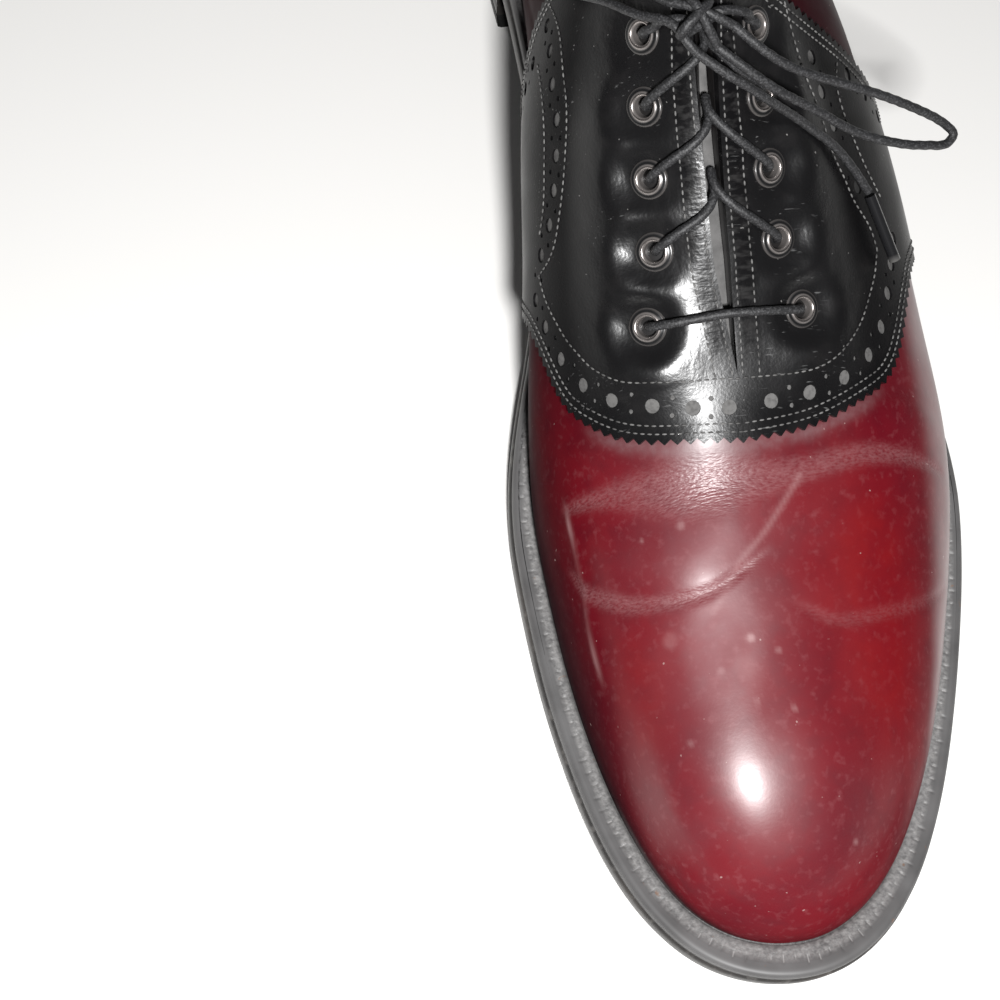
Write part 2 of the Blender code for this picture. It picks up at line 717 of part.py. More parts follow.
# Eyelets and lace


def eyelet_places():
    """(s, t) of the eyelets, pair by pair from the throat up, medial first."""
    places = []
    for pair in range(EYELET_PAIRS):
        s = LAST.up_the_ridge(EYELET_FIRST + pair * EYELET_PITCH)
        for side_s in (s, LAST.other_side(s)):
            places.append((side_s, LAST.share_from_top(side_s, EYELET_FROM_RIDGE[pair])))
    return places


def stand_on(obj, s, t, height):
    """Puts an object's Z axis along the leather's normal, that far above the upper."""
    normal = LAST.normal(s, t)
    axis = Vector((normal[0], -normal[1], normal[2]))
    obj.rotation_mode = "QUATERNION"
    obj.rotation_quaternion = axis.to_track_quat("Z", "Y")
    obj.location = to_frame(LAST.above(s, t, height))


def eyelet_profile():
    """Half section of an eyelet from the flange's top round to the bore, outer side downwards."""
    lift = EYELET_FLANGE_LIFT
    crown = lift + EYELET_FLANGE_HEIGHT
    middle = (EYELET_FLANGE_RADIUS + EYELET_HOLE_RADIUS) / 2
    return [
        (middle, crown),
        (EYELET_FLANGE_RADIUS, lift + 0.3 * EYELET_FLANGE_HEIGHT),
        (EYELET_FLANGE_RADIUS, lift),
        (EYELET_BARREL_RADIUS, lift),
        (EYELET_BARREL_RADIUS, -EYELET_BARREL_DEPTH),
        (EYELET_HOLE_RADIUS, -EYELET_BARREL_DEPTH),
        (EYELET_HOLE_RADIUS, lift),
        (middle, crown),
    ]


def build_eyelets(places):
    for number, (s, t) in enumerate(places):
        side = "medial" if number % 2 == 0 else "lateral"
        name = f"eyelet_{side}_{number // 2 + 1}"
        mesh = bpy.data.meshes.new(name)
        profile = [(radius, 0.0, height) for radius, height in eyelet_profile()]
        edges = [(i, i + 1) for i in range(len(profile) - 1)]
        mesh.from_pydata(profile, edges, [])
        obj = add_object(name, mesh, "eyelet_metal")
        turn = obj.modifiers.new("turn", "SCREW")
        turn.axis = "Z"
        turn.steps = EYELET_STEPS
        turn.render_steps = EYELET_STEPS
        turn.use_merge_vertices = True
        turn.merge_threshold = 0.01 * MM
        turn.use_smooth_shade = True
        weld = obj.modifiers.new("close", "WELD")
        weld.merge_threshold = 0.01 * MM
        stand_on(obj, s, t, SADDLE_OUTSIDE)


def build_eyelet_cutter(places, leathers):
    """One cutter of short rods that opens the leather under every eyelet."""
    work = bmesh.new()
    for s, t in places:
        rod = bpy.data.objects.new("rod", None)
        stand_on(rod, s, t, 0.0)
        turn = rod.rotation_quaternion.to_matrix().to_4x4()
        turn.translation = rod.location
        bmesh.ops.create_cone(
            work,
            cap_ends=True,
            segments=EYELET_STEPS,
            radius1=EYELET_CUT_RADIUS,
            radius2=EYELET_CUT_RADIUS,
            depth=EYELET_CUT_DEPTH,
            matrix=turn,
        )
        bpy.data.objects.remove(rod)
    mesh = bpy.data.meshes.new("eyelet_cutter")
    work.to_mesh(mesh)
    work.free()
    cutter = bpy.data.objects.new("eyelet_cutter", mesh)
    cutter.hide_render = True
    cutter.display_type = "WIRE"
    CUTTERS.objects.link(cutter)
    for leather in leathers:
        cut = leather.modifiers.new("eyelet_holes", "BOOLEAN")
        cut.operation = "DIFFERENCE"
        cut.object = cutter


def smooth_route(points, spacing):
    """Points every so often along a smooth curve through the route's own points."""
    points = np.asarray(points, float)
    knots = np.concatenate([[0], np.cumsum(np.linalg.norm(np.diff(points, axis=0), axis=1))])
    count = max(2, round(knots[-1] / spacing) + 1)
    return spline(knots, points)(np.linspace(0, knots[-1], count))


def cord(name, points, diameter, finish_name):
    """A round cord along points in the part's frame."""
    curve = bpy.data.curves.new(name, "CURVE")
    curve.dimensions = "3D"
    curve.bevel_depth = diameter / 2
    curve.bevel_resolution = 2
    curve.use_fill_caps = True
    line = curve.splines.new("POLY")
    line.points.add(len(points) - 1)
    for point, place in zip(line.points, points):
        point.co = (*place, 1.0)
    return add_object(name, curve, finish_name)


def build_lace_bars(places):
    """The bar across the lowest pair and the lambda-shaped crossings above it."""
    over_flange = SADDLE_OUTSIDE + EYELET_FLANGE_LIFT + EYELET_FLANGE_HEIGHT + LACE_DIAMETER / 2
    over_eyelet = over_flange + LACE_EYELET_CLEARANCE
    over_ridge = SADDLE_OUTSIDE + LACE_RIDGE_CLEARANCE + LACE_DIAMETER / 2
    for pair in range(EYELET_PAIRS):
        (medial_s, medial_t), (lateral_s, lateral_t) = places[2 * pair : 2 * pair + 2]
        rise = 0.0 if pair == 0 else EYELET_PITCH / 2
        apex_s = LAST.up_the_ridge(EYELET_FIRST + pair * EYELET_PITCH + rise)
        tops = LAST.above(np.array([apex_s, LAST.other_side(apex_s)]), np.ones(2), np.full(2, over_ridge))
        route = [
            LAST.above(medial_s, medial_t, over_eyelet),
            tops.mean(axis=0),
            LAST.above(lateral_s, lateral_t, over_eyelet),
        ]
        name = "lace_bar_1" if pair == 0 else f"lace_cross_{pair + 1}"
        cord(name, to_frame(smooth_route(route, LACE_POINT_SPACING)), LACE_DIAMETER, "lace_cord")


def build_bow():
    bpy.ops.mesh.primitive_uv_sphere_add(segments=14, ring_count=8, radius=1.0)
    knot = bpy.context.active_object
    knot.name = "lace_knot"
    knot.data.name = "lace_knot"
    for collection in list(knot.users_collection):
        collection.objects.unlink(knot)
    SHOE.objects.link(knot)
    knot.data.transform(Matrix.Diagonal((*(np.array(KNOT_RADII) * MM), 1.0)))
    knot.location = to_frame(np.array(KNOT_CENTRE) * MM)
    knot.data.materials.append(finish("lace_cord"))
    cords = {
        "lace_loop_lateral": LATERAL_LOOP,
        "lace_end_lateral": LATERAL_END,
        "lace_loop_medial": MEDIAL_LOOP,
        "lace_end_medial": MEDIAL_END,
    }
    for name, route in cords.items():
        points = smooth_route(np.array(route) * MM, LACE_POINT_SPACING)
        cord(name, to_frame(points), LACE_DIAMETER, "lace_cord")
    for name, route in (("aglet_lateral", LATERAL_AGLET), ("aglet_medial", MEDIAL_AGLET)):
        cord(name, to_frame(np.array(route) * MM), AGLET_DIAMETER, "aglet_film")


build_outsole()
build_heel()
build_welt()
build_insole()
upper = build_upper()
saddle = build_saddle()
build_tongue()
eyelet_at = eyelet_places()
build_eyelets(eyelet_at)
build_eyelet_cutter(eyelet_at, (upper, saddle))
build_lace_bars(eyelet_at)
build_bow()
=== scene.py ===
"""Left saddle oxford: polished burgundy upper, black saddle, welted leather sole and a waxed lace.

Sizes are in millimetres on the shoe: x across, "along" from the heel towards the toe, and height above
the floor. to_frame() brings them to the part's own metres, with the toe at -Y and the medial side at -X.
"""

import math
from collections import namedtuple

import bmesh
import bpy
import numpy as np
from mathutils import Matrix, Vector, geometry


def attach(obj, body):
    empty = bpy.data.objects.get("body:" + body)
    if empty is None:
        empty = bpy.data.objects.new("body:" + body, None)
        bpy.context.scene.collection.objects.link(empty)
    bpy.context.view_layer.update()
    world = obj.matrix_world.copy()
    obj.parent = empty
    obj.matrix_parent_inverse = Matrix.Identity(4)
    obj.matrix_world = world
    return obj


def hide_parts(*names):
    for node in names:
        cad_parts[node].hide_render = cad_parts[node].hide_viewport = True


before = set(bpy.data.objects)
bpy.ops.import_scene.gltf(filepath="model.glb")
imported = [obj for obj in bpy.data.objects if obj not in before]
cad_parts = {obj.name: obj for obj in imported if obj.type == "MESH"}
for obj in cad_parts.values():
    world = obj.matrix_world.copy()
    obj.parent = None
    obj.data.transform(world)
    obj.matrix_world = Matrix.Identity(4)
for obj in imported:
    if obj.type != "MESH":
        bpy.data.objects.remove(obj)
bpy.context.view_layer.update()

# The last: the wooden foot that the leather was pulled over. Everything else is measured from its surface.
# A rib is one section of its wall, s runs round the feather line where upper and sole meet, and t up a rib.

MM = 0.001
Section = namedtuple(
    "Section",
    "along medial lateral top_along ridge spread top lean_medial lean_lateral rise reach drop",
)
SECTIONS = [
    Section(296.0, -2.5, -2.5, 296.0, -2.5, 0.0, 14.3, 0.0, 0.0, 0.55, 0.55, 0.00),
    Section(292.5, -16.0, 10.0, 292.5, -4.0, 0.0, 29.0, 0.6, 0.6, 0.55, 0.55, 0.00),
    Section(285.0, -24.5, 19.0, 285.0, -6.0, 0.0, 38.0, 1.5, 1.5, 0.56, 0.56, 0.00),
    Section(272.0, -31.5, 28.0, 272.0, -7.5, 0.0, 45.0, 2.5, 2.5, 0.57, 0.57, 0.00),
    Section(255.0, -36.5, 36.0, 255.0, -7.5, 0.0, 49.0, 3.5, 3.5, 0.58, 0.57, 0.00),
    Section(235.0, -40.0, 43.0, 235.0, -7.0, 0.0, 52.5, 4.0, 4.0, 0.58, 0.57, 0.00),
    Section(212.0, -42.0, 49.0, 212.0, -5.5, 0.0, 57.0, 4.5, 4.5, 0.58, 0.56, 0.00),
    Section(190.0, -42.0, 51.5, 190.0, -4.5, 0.0, 65.0, 6.5, 6.0, 0.56, 0.55, 0.00),
    Section(167.0, -37.5, 48.5, 168.0, -6.0, 0.0, 77.0, 12.5, 10.0, 0.52, 0.53, 0.03),
    Section(145.0, -31.5, 43.5, 148.0, -7.0, 0.0, 91.0, 19.0, 16.0, 0.50, 0.50, 0.06),
    Section(125.0, -28.0, 39.0, 130.0, -7.5, 0.0, 105.0, 22.0, 18.0, 0.47, 0.46, 0.10),
    Section(107.0, -26.5, 35.5, 115.0, -6.5, 0.5, 118.0, 20.5, 17.0, 0.43, 0.38, 0.16),
    Section(90.0, -27.0, 33.0, 102.0, -4.0, 6.0, 125.5, 15.0, 12.0, 0.38, 0.25, 0.24),
    Section(70.0, -28.5, 31.5, 80.0, -1.0, 19.5, 127.0, 8.5, 7.5, 0.34, 0.08, 0.30),
    Section(45.0, -30.5, 31.5, 50.0, 0.0, 24.5, 122.0, 5.0, 5.0, 0.33, 0.06, 0.33),
    Section(20.0, -27.0, 27.0, 25.0, 0.0, 20.0, 118.0, 4.5, 4.5, 0.33, 0.06, 0.33),
    Section(6.0, -16.5, 16.5, 13.0, 0.0, 11.0, 116.0, 4.5, 4.5, 0.33, 0.06, 0.33),
    Section(0.0, 0.0, 0.0, 8.5, 0.0, 0.0, 115.0, 5.0, 5.0, 0.33, 0.06, 0.33),
]
SOLE_THICKNESS = 6.0
SEAT_GAP = 0.3
HEEL_SEAT_HEIGHT = 25.0
HEEL_SEAT_END = 48.0
TREAD_START = 196.0
TREAD_END = 226.0
TOE_SPRING = 10.0
TOE_SPRING_END = 305.0
THROAT_ALONG = 186.0
THROAT_HALF_GAP = 1.5
THROAT_GAP_RUN = 20.0
FACING_TOP_ALONG = 119.0
RIDGE_END_ALONG = 104.0


def sole_bottom(along):
    """Height of the outsole's underside: heel seat, arch, flat tread and toe spring."""
    down = np.clip((along - HEEL_SEAT_END) / (TREAD_START - HEEL_SEAT_END), 0, 1)
    arch = HEEL_SEAT_HEIGHT * (1 - down**2 * (3 - 2 * down))
    up = np.clip((along - TREAD_END) / (TOE_SPRING_END - TREAD_END), 0, None)
    return arch + TOE_SPRING * up**2


def feather_height(along):
    """Height of the upper's lower edge, which stands on the outsole."""
    return sole_bottom(along) + SOLE_THICKNESS + SEAT_GAP


def spline(knots, rows):
    """A function of x for the natural cubic spline through rows of columns."""
    gaps = np.diff(knots)
    matrix = np.eye(len(knots))
    bends = np.zeros_like(rows)
    for i in range(1, len(knots) - 1):
        matrix[i, i - 1 : i + 2] = gaps[i - 1] / 6, (gaps[i - 1] + gaps[i]) / 3, gaps[i] / 6
        bends[i] = (rows[i + 1] - rows[i]) / gaps[i] - (rows[i] - rows[i - 1]) / gaps[i - 1]
    curvature = np.linalg.solve(matrix, bends)

    def at(x):
        i = np.clip(np.searchsorted(knots, x) - 1, 0, len(knots) - 2)
        gap = gaps[i][..., None]
        b = (x - knots[i])[..., None] / gap
        a = 1 - b
        bent = (a**3 - a) * curvature[i] + (b**3 - b) * curvature[i + 1]
        return a * rows[i] + b * rows[i + 1] + bent * gap**2 / 6

    return at


def walk(points):
    """Distance from the first point to each point of a line."""
    return np.concatenate([[0], np.cumsum(np.linalg.norm(np.diff(points, axis=0), axis=1))])


def smooth_line(points, count):
    """Evenly spread points on the smooth curve through a few."""
    points = np.asarray(points, float)
    knots = walk(points)
    dense = spline(knots, points)(np.linspace(0, knots[-1], 6 * count))
    walked = walk(dense)
    even = np.linspace(0, walked[-1], count)
    return np.stack([np.interp(even, walked, column) for column in dense.T], -1)


# Columns of a rib that other pieces ask for
RIB_ALONG, RIB_RIDGE, RIB_TOP_ALONG = 1, 2, 3


class Last:
    """The outside of the upper at s and t, from feather (0) to top (1). Points are (x, along, height).

    s runs from the toe tip down the medial side to the heel back, and up the lateral side to the toe again.
    """

    WRAP = 4
    TABLE_STEPS = 4001
    WALK_STEPS = 1601

    def __init__(self, sections):
        at = Section(*np.array(sections).T)
        medial = self.columns_of(at, at.medial, at.lean_medial)
        lateral = self.columns_of(at, at.lateral, at.lean_lateral)
        loop = np.vstack([medial, lateral[-2::-1]])
        # Past the toe tip, where a rib shrinks to a point, its height and width change sign
        carry_on = np.array([1, 1, 1, 1, 1, -1, -1, -1, 1, 1, 1])
        loop = np.vstack([loop[-1 - self.WRAP : -1] * carry_on, loop, loop[1 : 1 + self.WRAP] * carry_on])
        half_width = (at.lateral - at.medial) / 2
        steps = np.hypot(np.diff(half_width), np.diff(at.along))
        round_trip = np.concatenate([steps, steps[::-1]])
        round_trip = np.concatenate([round_trip[-self.WRAP :], round_trip, round_trip[: self.WRAP]])
        knots = np.concatenate([[0], np.cumsum(round_trip)])
        self.columns = spline(knots - knots[self.WRAP], loop)
        self.heel = steps.sum()
        self.length = 2 * self.heel
        self.table_s = np.linspace(0, self.heel, self.TABLE_STEPS)
        self.table = self.columns(self.table_s)

    @staticmethod
    def columns_of(at, x, lean):
        """Columns of one side's ribs: foot, ridge, top, spread, rib height, lean, half width and shares."""
        rib_height = at.top - feather_height(at.along)
        half_width = (at.lateral - at.medial) / 2
        shape = [x, at.along, at.ridge, at.top_along, at.spread, rib_height, lean, half_width]
        return np.column_stack(shape + [at.rise, at.reach, at.drop])

    def foot_along(self, s):
        """Along of a rib's foot on the feather line."""
        return self.columns(np.asarray(s, float))[..., RIB_ALONG]

    def outward(self, s):
        """Level direction out of the feather line, as (x, along, 0)."""
        nudge = 0.05
        run = (self.columns(s + nudge) - self.columns(s - nudge))[..., :2]
        run = run / np.linalg.norm(run, axis=-1, keepdims=True)
        return np.stack([run[..., 1], -run[..., 0], np.zeros_like(run[..., 0])], -1)

    def handles(self, s):
        """The four points of the rib's curve."""
        column = np.moveaxis(self.columns(s), -1, 0)
        x, along, ridge, top_along, spread, rib_height, lean, half_width, rise, reach, drop = column
        side = np.where(s % self.length < self.heel, -1.0, 1.0)
        slit = THROAT_HALF_GAP * np.clip((THROAT_ALONG - top_along) / THROAT_GAP_RUN, 0, 1)
        base = feather_height(along)
        up = np.array([0.0, 0.0, 1.0])
        feather = np.stack([x, along, base], -1)
        top = np.stack([ridge + side * (np.maximum(spread, 0) + slit), top_along, base + rib_height], -1)
        low = feather + self.outward(s) * lean[..., None] + up * (rise * rib_height)[..., None]
        towards = (feather - top) * [1, 1, 0]
        towards = towards / np.maximum(np.linalg.norm(towards, axis=-1, keepdims=True), 1e-6)
        high = top + towards * np.abs(reach * half_width)[..., None] - up * (drop * rib_height)[..., None]
        return feather, low, high, top

    def point(self, s, t):
        s, t = np.broadcast_arrays(np.asarray(s, float), np.asarray(t, float))
        feather, low, high, top = self.handles(s)
        t = t[..., None]
        u = 1 - t
        return feather * u**3 + 3 * low * u**2 * t + 3 * high * u * t**2 + top * t**3

    def normal(self, s, t):
        s, t = np.broadcast_arrays(np.asarray(s, float), np.asarray(t, float))
        feather, low, high, top = self.handles(s)
        nudge = 0.02
        along_s = self.point(s + nudge, t) - self.point(s - nudge, t)
        t = t[..., None]
        u = 1 - t
        along_t = (low - feather) * u**2 + 2 * (high - low) * u * t + (top - high) * t**2
        cross = np.cross(along_s, along_t)
        length = np.linalg.norm(cross, axis=-1, keepdims=True)
        return np.where(length > 1e-9, cross / np.maximum(length, 1e-9), [0.0, 1.0, 0.0])

    def above(self, s, t, height):
        """Point that height away from the surface."""
        return self.point(s, t) + self.normal(s, t) * np.asarray(height, float)[..., None]

    def other_side(self, s):
        return self.length - s

    def medial_of(self, column, value):
        """Medial s at which a column that falls from toe to heel has this value."""
        return np.interp(-np.asarray(value, float), -self.table[:, column], self.table_s)

    def share_from_top(self, s, distance):
        """t of the point that lies this far down the rib from its top."""
        t = np.linspace(1, 0.2, self.WALK_STEPS)
        return np.interp(distance, walk(self.point(np.full_like(t, s), t)), t)

    def up_the_ridge(self, distance):
        """Medial s reached by walking this far up the ridge from the throat's lower end."""
        ends = self.medial_of(RIB_TOP_ALONG, [THROAT_ALONG, RIDGE_END_ALONG])
        s = np.linspace(*ends, self.WALK_STEPS)
        return np.interp(distance, walk(self.point(s, np.ones_like(s))), s)


LAST = Last(SECTIONS)
THROAT = float(LAST.medial_of(RIB_TOP_ALONG, THROAT_ALONG))
FACING_TOP = float(LAST.medial_of(RIB_TOP_ALONG, FACING_TOP_ALONG))

# The outsole: a black-edged leather plate under the whole shoe, cut to the welt's outline and sewn to it.
# Its edge is trimmed, rounded below and burnished. The heel below it is a stack of leather lifts on rubber.

SOLE_EDGE_ALONG = [0.0, 110.0, 160.0, 200.0, 250.0, 285.0, 296.0]
SOLE_EDGE_BEYOND = [4.0, 4.0, 4.5, 6.0, 6.6, 7.3, 8.0]
WELT_STEP = 0.6
# The trimmed edge: how far beyond the outline, and how far up from the underside
SOLE_PROFILE = [(-1.4, 0.0), (-0.6, 0.25), (-0.15, 0.75), (0.0, 1.5), (0.0, 5.2), (-0.25, 5.7), (-0.6, 6.0)]
TOE_SHARE = 0.12
HEEL_SHARE = 0.9
HEEL_BREAST = 62.0
HEEL_TAPER = 1.5
LIFTS = 4
LIFT_GROOVE = 0.25
# One lift of the stack: share of its height, and how deep the groove between lifts is there
LIFT_PROFILE = [(0.0, LIFT_GROOVE), (0.12, 0.0), (0.88, 0.0), (1.0, LIFT_GROOVE)]
TOP_LIFT = 6.0
TOP_LIFT_PROFILE = [(1.6, 0.0), (0.7, 0.7), (0.0, TOP_LIFT)]
SOLE_BLACK = (0.030, 0.028, 0.027)
SOLE_SCUFF = (0.16, 0.15, 0.14)
SOLE_EARTH = (0.10, 0.088, 0.078)
RUBBER_BLACK = (0.018, 0.018, 0.018)


def sole_outline(s, beyond):
    """(x, along) of the sole's edge, moved out by a further distance."""
    feather = LAST.columns(s)[..., :2]
    width = np.interp(feather[..., 1], SOLE_EDGE_ALONG, SOLE_EDGE_BEYOND) + beyond
    return feather + LAST.outward(s)[..., :2] * width[..., None]


OUTLINE = sole_outline(np.linspace(0, LAST.length, 2001), 0.0)
MIDDLE = (OUTLINE.min(axis=0) + OUTLINE.max(axis=0)) / 2


def to_frame(points):
    """(x, along, height) in millimetres to the part's X, Y, Z in metres."""
    points = np.asarray(points, float)
    return np.stack([points[..., 0] - MIDDLE[0], MIDDLE[1] - points[..., 1], points[..., 2]], -1) * MM


class Finish:
    """A material under construction: nodes are added by kind, with inputs that are values or sockets."""

    def __init__(self, name, colour, roughness, coat=0.0, coat_roughness=0.1):
        self.material = bpy.data.materials.new(name)
        self.material.use_nodes = True
        self.tree = self.material.node_tree
        self.shader = self.tree.nodes["Principled BSDF"]
        self.place = self.tree.nodes.new("ShaderNodeTexCoord").outputs["Object"]
        self.shader.inputs["Base Color"].default_value = (*colour, 1.0)
        self.shader.inputs["Roughness"].default_value = roughness
        self.shader.inputs["Coat Weight"].default_value = coat
        self.shader.inputs["Coat Roughness"].default_value = coat_roughness
        self.colour = (*colour, 1.0)

    def node(self, kind, inputs, **settings):
        node = self.tree.nodes.new(kind)
        for key, value in settings.items():
            setattr(node, key, value)
        for key, value in inputs.items():
            if isinstance(value, bpy.types.NodeSocket):
                self.tree.links.new(value, node.inputs[key])
            else:
                node.inputs[key].default_value = value
        return node

    def attribute(self, name):
        return self.node("ShaderNodeAttribute", {}, attribute_name=name).outputs["Fac"]

    def noise(self, size, detail=2.0, stretch=(1.0, 1.0, 1.0)):
        """Cloudy noise with lumps of about that many millimetres."""
        place = self.node("ShaderNodeMapping", {"Vector": self.place, "Scale": stretch}).outputs["Vector"]
        inputs = {"Vector": place, "Scale": 1000 / size, "Detail": detail}
        return self.node("ShaderNodeTexNoise", inputs).outputs["Fac"]

    def ramp(self, value, low, high, first=0.0, last=1.0):
        inputs = {"Value": value, "From Min": low, "From Max": high, "To Min": first, "To Max": last}
        return self.node("ShaderNodeMapRange", inputs).outputs["Result"]

    def cloud(self, size, detail, low, high, first=0.0, last=1.0):
        """Cloudy noise, stretched from first to last between two of its levels."""
        return self.ramp(self.noise(size, detail), low, high, first, last)

    def painted(self, name, low, high, first=0.0, last=1.0):
        """A painted attribute, stretched from first to last between two of its levels."""
        return self.ramp(self.attribute(name), low, high, first, last)

    def times(self, first, second):
        return self.node("ShaderNodeMath", {0: first, 1: second}, operation="MULTIPLY").outputs[0]

    def plus(self, first, second):
        return self.node("ShaderNodeMath", {0: first, 1: second}, operation="ADD").outputs[0]

    def tint(self, share, colour):
        """Lays another colour over the colour so far."""
        inputs = {0: share, 6: self.colour, 7: (*colour, 1.0)}
        self.colour = self.node("ShaderNodeMix", inputs, data_type="RGBA").outputs[2]
        self.drive("Base Color", self.colour)

    def drive(self, name, value):
        """Lets a node set one of the shader's inputs."""
        self.tree.links.new(value, self.shader.inputs[name])

    def bump(self, height, strength, depth):
        """Adds relief of that depth in millimetres on top of the relief so far."""
        inputs = {"Height": height, "Strength": strength, "Distance": depth * MM}
        if self.shader.inputs["Normal"].is_linked:
            inputs["Normal"] = self.shader.inputs["Normal"].links[0].from_socket
        normal = self.node("ShaderNodeBump", inputs).outputs["Normal"]
        self.drive("Normal", normal)
        self.drive("Coat Normal", normal)


def add_piece(name, points, faces, material, replaces=(), attributes=None, weld=0.0, sharp=None):
    """A mesh of points in the shoe's millimetres, which stands for the named CAD nodes."""
    mesh = bpy.data.meshes.new(name)
    mesh.from_pydata(to_frame(points).tolist(), [], faces)
    for key, values in (attributes or {}).items():
        mesh.attributes.new(key, "FLOAT", "POINT").data.foreach_set("value", np.asarray(values, np.float32))
    if weld:
        work = bmesh.new()
        work.from_mesh(mesh)
        bmesh.ops.remove_doubles(work, verts=work.verts, dist=weld * MM)
        bmesh.ops.dissolve_degenerate(work, edges=work.edges, dist=weld * MM)
        work.to_mesh(mesh)
        work.free()
    mesh.shade_smooth()
    if sharp:
        mesh.set_sharp_from_angle(angle=math.radians(sharp))
    return add_mesh(name, mesh, material, replaces)


def add_mesh(name, mesh, material, replaces=()):
    """An object for a finished mesh, fixed to the shoe."""
    obj = bpy.data.objects.new(name, mesh)
    bpy.context.scene.collection.objects.link(obj)
    mesh.materials.clear()
    mesh.materials.append(material)
    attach(obj, "root")
    if replaces:
        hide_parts(*replaces)
    return obj


def grid_faces(columns, rows, first=0):
    """Quads of a sheet of points stored column by column."""
    a = first + (np.arange(columns - 1)[:, None] * rows + np.arange(rows - 1)[None, :]).ravel()
    return np.stack([a + 1, a + rows + 1, a + rows, a], -1).tolist()


def ring_quads(rings, ring):
    """Quads of a tube of rings: a corner, the next one round its ring, and both again on the next ring."""
    a = np.arange((rings - 1) * ring)
    b = a - a % ring + (a + 1) % ring
    return np.stack([a, b, b + ring, a + ring], -1)


def add_plate(name, node, at, levels, material):
    """A plate across the shoe: at each station its sides climb through levels of (edge, height) functions."""
    sides = []
    for side_at, order in ((at, levels), (LAST.other_side(at), levels[::-1])):
        for edge, height in order:
            flat = edge(side_at)
            sides.append(np.column_stack([flat, height(flat[:, 1]) + np.zeros(len(at))]))
    points = np.stack(sides, 1)
    ring = len(sides)
    last_ring = (len(at) - 1) * ring
    faces = ring_quads(len(at), ring).tolist()
    faces.append(tuple(range(last_ring, last_ring + ring)))
    return add_piece(name, points.reshape(-1, 3), faces, material, (node,), weld=0.01, sharp=35)


def edge_beyond(beyond):
    return lambda s: sole_outline(s, beyond)


def edge_inside(inset):
    return lambda s: LAST.columns(s)[..., :2] - LAST.outward(s)[..., :2] * inset


def sole_level(up):
    """Height above the outsole's underside."""
    return lambda along: sole_bottom(along) + up


def stack_level(share):
    """Height in the heel's stack, from the top lift (0) to the outsole (1)."""
    foot = TOP_LIFT + SEAT_GAP
    return lambda along: foot + (sole_bottom(along) - SEAT_GAP - foot) * share


def floor_level(up):
    return lambda along: up


sole = Finish("sole_leather", SOLE_BLACK, 0.42)
sole.tint(sole.cloud(3.0, 4.0, 0.56, 0.74, 0.0, 0.6), SOLE_SCUFF)
sole.tint(sole.cloud(22.0, 2.0, 0.5, 0.75, 0.0, 0.5), SOLE_EARTH)
sole.bump(sole.noise(1.2, 4.0), 0.35, 0.25)

# Stations stand closer together round the toe and the heel
toe_stations = LAST.heel * np.linspace(0, 1, 60) ** 2 * TOE_SHARE
side_stations = np.linspace(LAST.heel * TOE_SHARE, LAST.heel * HEEL_SHARE, 150)[1:]
back_stations = LAST.heel * (HEEL_SHARE + (1 - HEEL_SHARE) * np.linspace(0, 1, 60)[1:] ** 0.6)
STATIONS = np.concatenate([toe_stations, side_stations, back_stations])
outsole_levels = [(edge_beyond(beyond), sole_level(up)) for beyond, up in SOLE_PROFILE]
add_plate("outsole_leather", "outsole", STATIONS, outsole_levels, sole.material)

breast = float(LAST.medial_of(RIB_ALONG, HEEL_BREAST))
heel_stations = np.concatenate([[breast], STATIONS[STATIONS > breast + 0.5]])
stack_levels = []
for lift in range(LIFTS):
    for share, groove in LIFT_PROFILE:
        up = (lift + share) / LIFTS
        inset = HEEL_TAPER + (WELT_STEP - HEEL_TAPER) * up + groove
        stack_levels.append((edge_beyond(-inset), stack_level(up)))
add_plate("heel_lifts", "heel_stack", heel_stations, stack_levels, sole.material)

rubber = Finish("heel_rubber", RUBBER_BLACK, 0.7)
rubber.bump(rubber.noise(0.8, 3.0), 0.3, 0.2)
lift_levels = [(edge_beyond(-HEEL_TAPER - inset), floor_level(up)) for inset, up in TOP_LIFT_PROFILE]
add_plate("heel_rubber_lift", "heel_top_lift", heel_stations, lift_levels, rubber.material)

# The insole: a tan leather board inside the upper, on which the foot stands.
# It is cut to the last's outline and lies on the outsole. Only its heel is seen, from behind.

INSOLE_INSET = 2.6
INSOLE_THICKNESS = 3.0
INSOLE_ROUND = 0.4
INSOLE_TAN = (0.40, 0.25, 0.14)
INSOLE_STAIN = (0.20, 0.12, 0.07)
insole = Finish("insole_leather", INSOLE_TAN, 0.55)
insole.tint(insole.cloud(30.0, 2.0, 0.45, 0.7, 0.0, 0.7), INSOLE_STAIN)
insole.bump(insole.noise(1.0, 3.0), 0.25, 0.2)
insole_foot = SOLE_THICKNESS + SEAT_GAP
insole_levels = [
    (edge_inside(INSOLE_INSET), sole_level(insole_foot)),
    (edge_inside(INSOLE_INSET), sole_level(insole_foot + INSOLE_THICKNESS - INSOLE_ROUND)),
    (edge_inside(INSOLE_INSET + INSOLE_ROUND), sole_level(insole_foot + INSOLE_THICKNESS)),
]
add_plate("insole_board", "insole", STATIONS, insole_levels, insole.material)

# The welt: a strip of black leather sewn round the upper's foot and down to the outsole.
# A wheel has pressed short ticks across its top, which have worn white, and dust greys it beside the upper.

